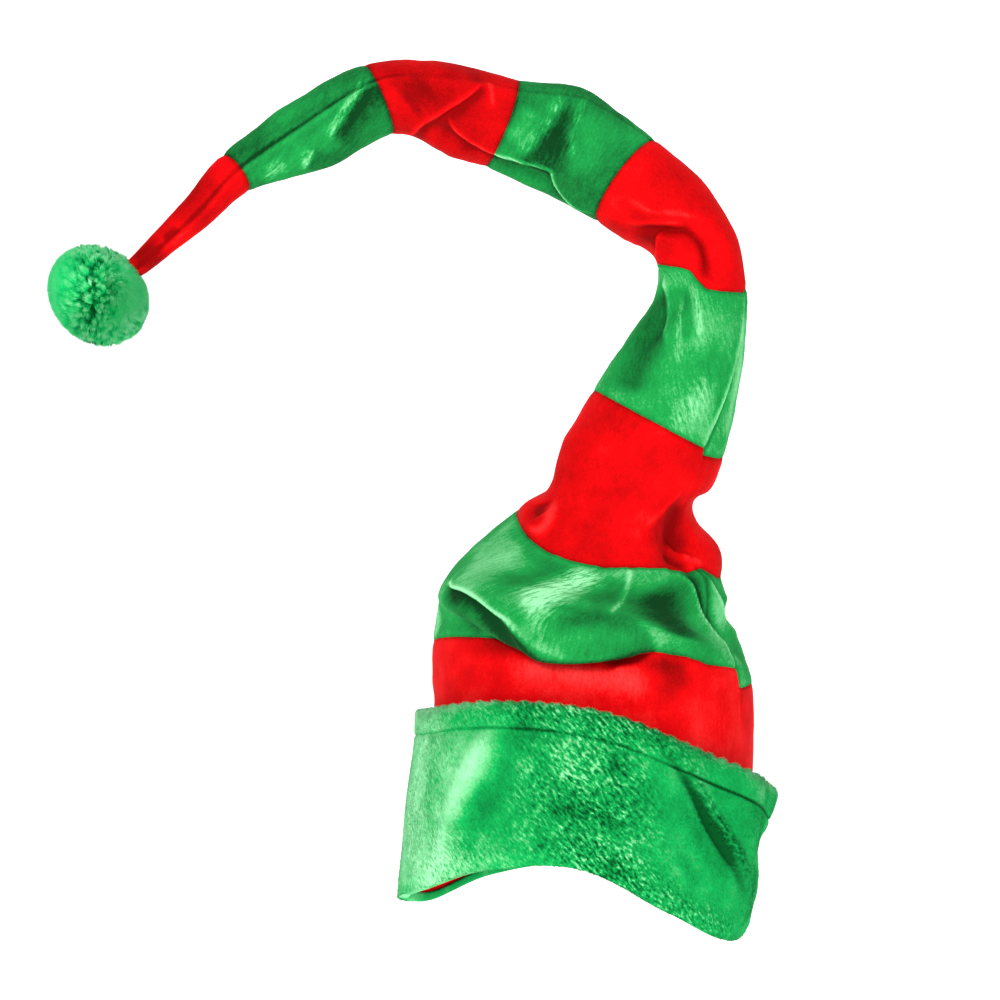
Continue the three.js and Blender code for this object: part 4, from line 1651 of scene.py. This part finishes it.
    def pile_piece(self, number: int, dressing: Dressing) -> bpy.types.Object:
        """One batch of tufts on the cuff's outside, laid over by the nap and gathered in small clumps.

        Args:
            number: the batch's number, which seeds it.
            dressing: the plush.

        Returns:
            The piece.
        """
        pile = self.pile
        count = pile.tufts
        rng = np.random.default_rng(self.seed + 1 + number)
        angle = rng.uniform(0, FULL_TURN, count)
        place = self.spread_place(rng.uniform(0, 1, count))
        root = self.surface(place, angle)
        above = self.surface(place + pile.spot_step, angle)
        up = unit(above - self.surface(place - pile.spot_step, angle))
        around = unit(self.surface(place, angle + STEP) - self.surface(place, angle - STEP))
        outward = unit(np.cross(around, up))
        share = self.share_of(place)
        ruffle = self.ruffle(share, angle)
        edge = hump((place - self.edge_spot) / pile.edge_spots)
        fold = hump(place / pile.edge_spots)
        groove = self.stitched(place, angle, pile.groove_spots)

        field_rng = np.random.default_rng(self.seed + pile.field_seed)
        heading = math.pi + pile.sway * self.field(field_rng, share, angle, pile.sway_length)
        clumps = self.field(field_rng, share, angle, pile.clump_length)
        heading += (pile.clump_sway + pile.ruffled_sway * ruffle) * clumps
        heading += rng.normal(0, pile.heading_spread, count)
        lean = np.radians(pile.lean - pile.ruffle_rise * ruffle - pile.edge_rise * edge)
        lean += rng.normal(0, pile.lean_spread, count)
        flat = np.cos(heading)[:, None] * up + np.sin(heading)[:, None] * around
        direction = np.cos(lean)[:, None] * outward + np.sin(lean)[:, None] * flat
        length = pile.length * rng.uniform(*pile.lengths, count) * (1 + pile.edge_longer * edge)
        length *= (1 - pile.fold_shorter * fold) * (1 - pile.groove_shorter * groove)

        tone = self.nap(share, angle) + rng.normal(0, pile.tone_spread, count)
        # Tufts at the free edge are lighter; those in the stitched groove are painted darker, as shade
        tone = tone + pile.edge_tone * edge - pile.groove_painted_shade * groove
        tufts = Tufts(
            root=root - pile.sunk * outward,
            tip=root + direction * length[:, None],
            normal=outward,
            # Roots painted darker, more where ruffled, as shade between the tufts
            root_tone=tone - (pile.root_tone + pile.ruffle_tone * ruffle),
            tip_tone=tone + pile.tip_tone,
            ruffle=ruffle,
            width=pile.width,
        )
        piece = tufts.piece(f"cuff_pile_{number + 1}", rng)
        dressing.put_on(piece)
        return piece

    def spread_place(self, share: np.ndarray) -> np.ndarray:
        """Places along the outline's outside, evenly by length, for shares from 0 to 1."""
        ends = np.concatenate([[0], np.cumsum(CUFF_SPOT_LENGTHS)])
        return np.interp(share * ends[-1], ends, np.arange(len(ends)) + self.pile.first_spot)


@dataclass(frozen=True)
class PompomPile:
    """The pompom's pile: how tufts gather to locks and lean, as shares of the radius, and tones, with
    painted light on the top and the low rim, painted shading from side to side, and painted shade at
    the roots and the edges of locks.

    Belt and rims are the ruffled places, with their widths on the unit ball.
    """

    locks: int = 1000
    tufts: int = 25000
    width: float = 0.85
    sunk: float = 0.8
    shake: float = 0.8
    belt_slope: float = 0.15
    belt_shift: float = 0.02
    belt_width: float = 0.85
    low_ruffle: float = 0.8
    low_ruffle_width: float = 0.34
    top_ruffle: float = 0.5
    top_ruffle_width: float = 0.4
    gather: float = 0.06
    ruffled_gather: float = 0.36
    combed: float = 0.13
    aim_spread: float = 0.012
    lock_heights: Range = (-0.05, 0.02)
    tuft_heights: Range = (-0.03, 0.01)
    tone: float = 0.56
    tone_spread: float = 0.02
    lock_tone: float = 0.17
    smooth_lock: float = 0.08
    side_painted_shading: float = 0.07
    side_range: Range = (-1.0, 0.4)
    ruffle_tone: float = 0.2
    lock_edge_painted_shade: float = 0.26
    lock_edge: float = 1.3
    top_painted_light: float = 0.3
    top_width: float = 0.45
    low_rim_painted_light: float = 0.14
    low_width: float = 0.3
    root_tone: float = 0.04
    ruffled_root_painted_shade: float = 0.14
    tip_tone: float = 0.06


@dataclass(frozen=True)
class Pompom:
    """The pompom: a ball of plush, its short pile smooth at the sides and ruffled into clumps between.

    Sizes are in millimetres. squash flattens the ball along the tail, and directions whose cosine to
    the tail's end passes seat stay bare.
    """

    tube: HatTube
    pile: PompomPile = PompomPile()
    middle: Place = (-274.0, 0.0, 350.6)
    core: float = 26.0
    reach: float = 32.0
    squash: float = 0.87
    seat: float = 0.985
    rings: int = 48
    spokes: int = 96
    pole: float = 0.02
    lump: float = 0.02
    lump_length: float = 16.0
    head_painted_shade_tone: float = 0.2
    seed: int = 91

    def tail(self) -> tuple[np.ndarray, np.ndarray]:
        """The tail's end and its direction there, from four spots of its last section.

        Returns:
            The middle of the end, and the unit vector along the tail.
        """
        last = np.full(4, len(self.tube.sections) - 1)
        quarters = np.arange(4) * math.pi / 2
        end = self.tube.ring(last, quarters).mean(axis=0)
        return end, unit(self.tube.directions(last.astype(float), quarters).along.mean(axis=0))

    def spiral(self, rng: np.random.Generator) -> np.ndarray:
        """Directions that cover a ball evenly: a golden-angle spiral, slightly shaken.

        Args:
            rng: the seeded source of the shaking.

        Returns:
            Unit vectors, one a row.
        """
        count = self.pile.tufts
        number = np.arange(count) + 0.5
        z = 1 - 2 * number / count
        turn = number * math.pi * (3 - math.sqrt(5))
        flat = np.sqrt(1 - z * z)
        even = np.stack([flat * np.cos(turn), flat * np.sin(turn), z], axis=-1)
        return unit(even + rng.normal(0, self.pile.shake / math.sqrt(count), even.shape))

    def ruffle(self, way: np.ndarray) -> np.ndarray:
        """How ruffled the pile is in each direction: most in an upright belt, and at the pale rims.

        Args:
            way: unit vectors from the middle.

        Returns:
            Shares from 0 to 1.
        """
        pile = self.pile
        across = way[:, 0] - pile.belt_slope * way[:, 2] + pile.belt_shift
        rims = pile.low_ruffle * hump((way @ LOW_RIGHT - 1.0) / pile.low_ruffle_width)
        rims += pile.top_ruffle * hump((way[:, 2] - 1.0) / pile.top_ruffle_width)
        return np.minimum(hump(across / pile.belt_width) + rims, 1.0)

    def flattened(self, way: np.ndarray, tail: np.ndarray) -> np.ndarray:
        """Directions from the middle, shortened along the tail by the ball's squash."""
        return way + (self.squash - 1) * (way @ tail)[..., None] * tail

    def head_piece(self, tail: np.ndarray) -> bpy.types.Object:
        """The ball under the pile: a sphere with low lumps, on a grid of latitude and longitude.

        Args:
            tail: the tail's direction, along which the ball is flattened.

        Returns:
            The piece.
        """
        rng = np.random.default_rng(self.seed + 1)
        lat = np.linspace(self.pole, math.pi - self.pole, self.rings)
        lon = np.linspace(0, FULL_TURN, self.spokes, endpoint=False)
        tall, turn = np.meshgrid(lat, lon, indexing="ij")
        flat = np.sin(tall)
        ball = np.stack([flat * np.cos(turn), flat * np.sin(turn), -np.cos(tall)], axis=-1)
        lumps = waves(rng, turn, tall * self.core, FULL_TURN * self.core, self.lump_length)
        radius = self.core * (1 + self.lump * lumps)[..., None]
        points = np.array(self.middle) + radius * self.flattened(ball, tail)
        # The ball is painted dark, as shade seen between the tufts
        tones = {"nap": np.full(tall.shape, self.head_painted_shade_tone), "ruffle": np.zeros(tall.shape)}
        return mesh_object("pompom_head", points.reshape(-1, 3), tube_faces(*tall.shape), tones)

    def pile_piece(self, end: np.ndarray, tail: np.ndarray) -> bpy.types.Object:
        """The pile: short tufts that lean one way where smooth, and gather to locks where ruffled.

        Args:
            end: the tail's end, where the ball stays bare.
            tail: the tail's direction there, along which the ball is flattened.

        Returns:
            The piece.
        """
        pile = self.pile
        rng = np.random.default_rng(self.seed)
        middle = np.array(self.middle)
        way = self.spiral(rng)
        way = way[way @ unit(end - middle) < self.seat]
        count = len(way)
        lock = unit(rng.normal(0, 1, (pile.locks, 3)))
        closeness = way @ lock.T
        own = np.argmax(closeness, axis=1)
        off = np.arccos(np.clip(closeness.max(axis=1), -1, 1)) / math.sqrt(4 / pile.locks)
        ruffle = self.ruffle(way)

        gather = pile.gather + pile.ruffled_gather * ruffle
        combed = unit(np.cross(way, COMBED_ROUND))
        aim = way * (1 - gather)[:, None] + lock[own] * gather[:, None]
        aim = aim + (pile.combed * (1 - ruffle))[:, None] * combed
        aim = aim + rng.normal(0, pile.aim_spread, way.shape)
        tall = 1 + rng.uniform(*pile.lock_heights, pile.locks)[own] * ruffle
        tall = tall + rng.uniform(*pile.tuft_heights, count)

        light = rng.normal(0, pile.lock_tone, pile.locks)[own] * (pile.smooth_lock + ruffle)
        # Painted light and shade: one side darker and the other lighter, the edges of ruffled locks darker,
        # the top and the low rim lighter
        side = np.clip(way @ PAINTED_SHADE_SIDE, *pile.side_range)
        tone = pile.tone - pile.side_painted_shading * side + light + rng.normal(0, pile.tone_spread, count)
        tone = tone + pile.ruffle_tone * ruffle
        tone = tone - pile.lock_edge_painted_shade * ruffle * np.minimum(off, pile.lock_edge) ** 2
        tone = tone + pile.top_painted_light * hump((way[:, 2] - 1.0) / pile.top_width)
        tone = tone + pile.low_rim_painted_light * hump((way @ LOW_RIGHT - 1.0) / pile.low_width)
        tufts = Tufts(
            root=middle + self.flattened(way, tail) * (self.core - pile.sunk),
            tip=middle + self.flattened(unit(aim), tail) * (self.reach * tall)[:, None],
            normal=way,
            # Roots painted darker, more where ruffled, as shade between the tufts
            root_tone=tone - (pile.root_tone + pile.ruffled_root_painted_shade * ruffle),
            tip_tone=tone + pile.tip_tone,
            ruffle=ruffle,
            width=pile.width,
        )
        return tufts.piece("pompom_pile", rng)

    def build(self, dressing: Dressing) -> list[bpy.types.Object]:
        """Args:
            dressing: the pile's plush.

        Returns:
            The pieces, the ball first.
        """
        end, tail = self.tail()
        head = self.head_piece(tail)
        pile = self.pile_piece(end, tail)
        dressing.put_on(head, "pompom")
        dressing.put_on(pile)
        LOG.info("pompom_head and pompom_pile: %d tufts", len(pile.data.vertices) // 4)
        return [head, pile]


@dataclass(frozen=True)
class SoftLight:
    """A square soft light: its place and its side in metres, and its power in watts."""

    name: str
    place: Place
    size: float
    power: float

    def build(self, aim: Place) -> None:
        """Adds the light, turned to a place.

        Args:
            aim: the place that it faces, in metres.
        """
        data = bpy.data.lights.new(self.name, "AREA")
        data.energy = self.power
        data.size = self.size
        lamp = bpy.data.objects.new(self.name, data)
        lamp.location = self.place
        x, y, z = np.array(aim) - np.array(self.place)
        lamp.rotation_euler = (math.atan2(math.hypot(x, y), -z), 0, math.atan2(-x, y))
        bpy.context.scene.collection.objects.link(lamp)


LIGHTS = (
    SoftLight("key", (-1.1, -2.0, 1.3), 0.8, 40.0),
    SoftLight("fill", (1.5, -1.7, 0.7), 1.4, 19.0),
    SoftLight("top", (0.1, 0.3, 2.0), 1.2, 9.0),
)


@dataclass(frozen=True)
class Studio:
    """White sweep, soft lights and the camera at the photograph's place, in metres."""

    camera_place: Place = (-0.0431, -1.8, 0.2329)
    field_width: float = 0.575
    sensor: float = 36.0
    clip: Range = (0.05, 50.0)
    aim: Place = (0.0, 0.0, 0.24)
    floor_height: float = -0.32
    floor_front: float = -3.0
    floor_back: float = 3.4
    bend_from: float = 2.2
    bend: float = 1.2
    bend_steps: int = 16
    wall_top: float = 4.6
    half_width: float = 5.2
    floor_grey: float = 0.92
    floor_roughness: float = 0.9
    floor_glow: float = 0.7
    ambient: float = 0.3

    def camera(self) -> None:
        """Sets the camera level, square to the front, with the photograph's field of view."""
        data = bpy.data.cameras.new("camera")
        data.sensor_width = self.sensor
        data.lens = self.sensor * -self.camera_place[1] / self.field_width
        data.clip_start, data.clip_end = self.clip
        camera = bpy.data.objects.new("camera", data)
        camera.location = self.camera_place
        camera.rotation_euler = (math.pi / 2, 0, 0)
        bpy.context.scene.collection.objects.link(camera)
        bpy.context.scene.camera = camera

    def sweep(self) -> None:
        """A floor that curves up into a backdrop: a profile of a quarter circle between two flats."""
        turn = np.linspace(0, math.pi / 2, self.bend_steps)
        bend_y = self.bend_from + self.bend * np.sin(turn)
        bend_z = self.bend - self.bend * np.cos(turn)
        y = np.concatenate([[self.floor_front], bend_y, [self.floor_back]])
        z = np.concatenate([[0.0], bend_z, [self.wall_top]]) + self.floor_height
        x = np.array([-self.half_width, self.half_width])
        points = np.stack(np.broadcast_arrays(x[None, :], y[:, None], z[:, None]), axis=-1)
        rows = np.arange(len(y) - 1)
        faces = np.stack([rows * 2, rows * 2 + 1, rows * 2 + 3, rows * 2 + 2], axis=-1)
        floor = mesh_object("floor", points.reshape(-1, 3) / MM, faces)
        nodes = NodeTree("floor")
        nodes.set(nodes.shader, {
            "Base Color": (self.floor_grey, self.floor_grey, self.floor_grey, 1.0),
            "Roughness": self.floor_roughness,
            "Emission Color": WHITE,
            "Emission Strength": self.floor_glow,
        })
        floor.data.materials.append(nodes.material)

    def build(self) -> None:
        """Sets the camera, floor, lights and surrounding light."""
        self.camera()
        self.sweep()
        for light in LIGHTS:
            light.build(self.aim)
        world = bpy.data.worlds.new("studio")
        world.use_nodes = True
        background = world.node_tree.nodes["Background"]
        background.inputs["Color"].default_value = WHITE
        background.inputs["Strength"].default_value = self.ambient
        bpy.context.scene.world = world
        bpy.context.scene.view_settings.view_transform = "Standard"


def main() -> None:
    """Builds the studio, the stripes, the cuff and the pompom in order."""
    logging.basicConfig(level=logging.INFO, format="%(message)s")
    Studio().build()
    tube = HatTube()
    velvets = {Dye.RED: RED_VELVET.dressing(), Dye.GREEN: GREEN_VELVET.dressing()}
    below = ""
    for band in BANDS:
        below = band.build(tube, velvets[band.dye], below).name
    Cuff(tube).build(CUFF_PLUSH.dressing())
    Pompom(tube).build(POMPOM_PILE.dressing())


if __name__ == "__main__":
    main()
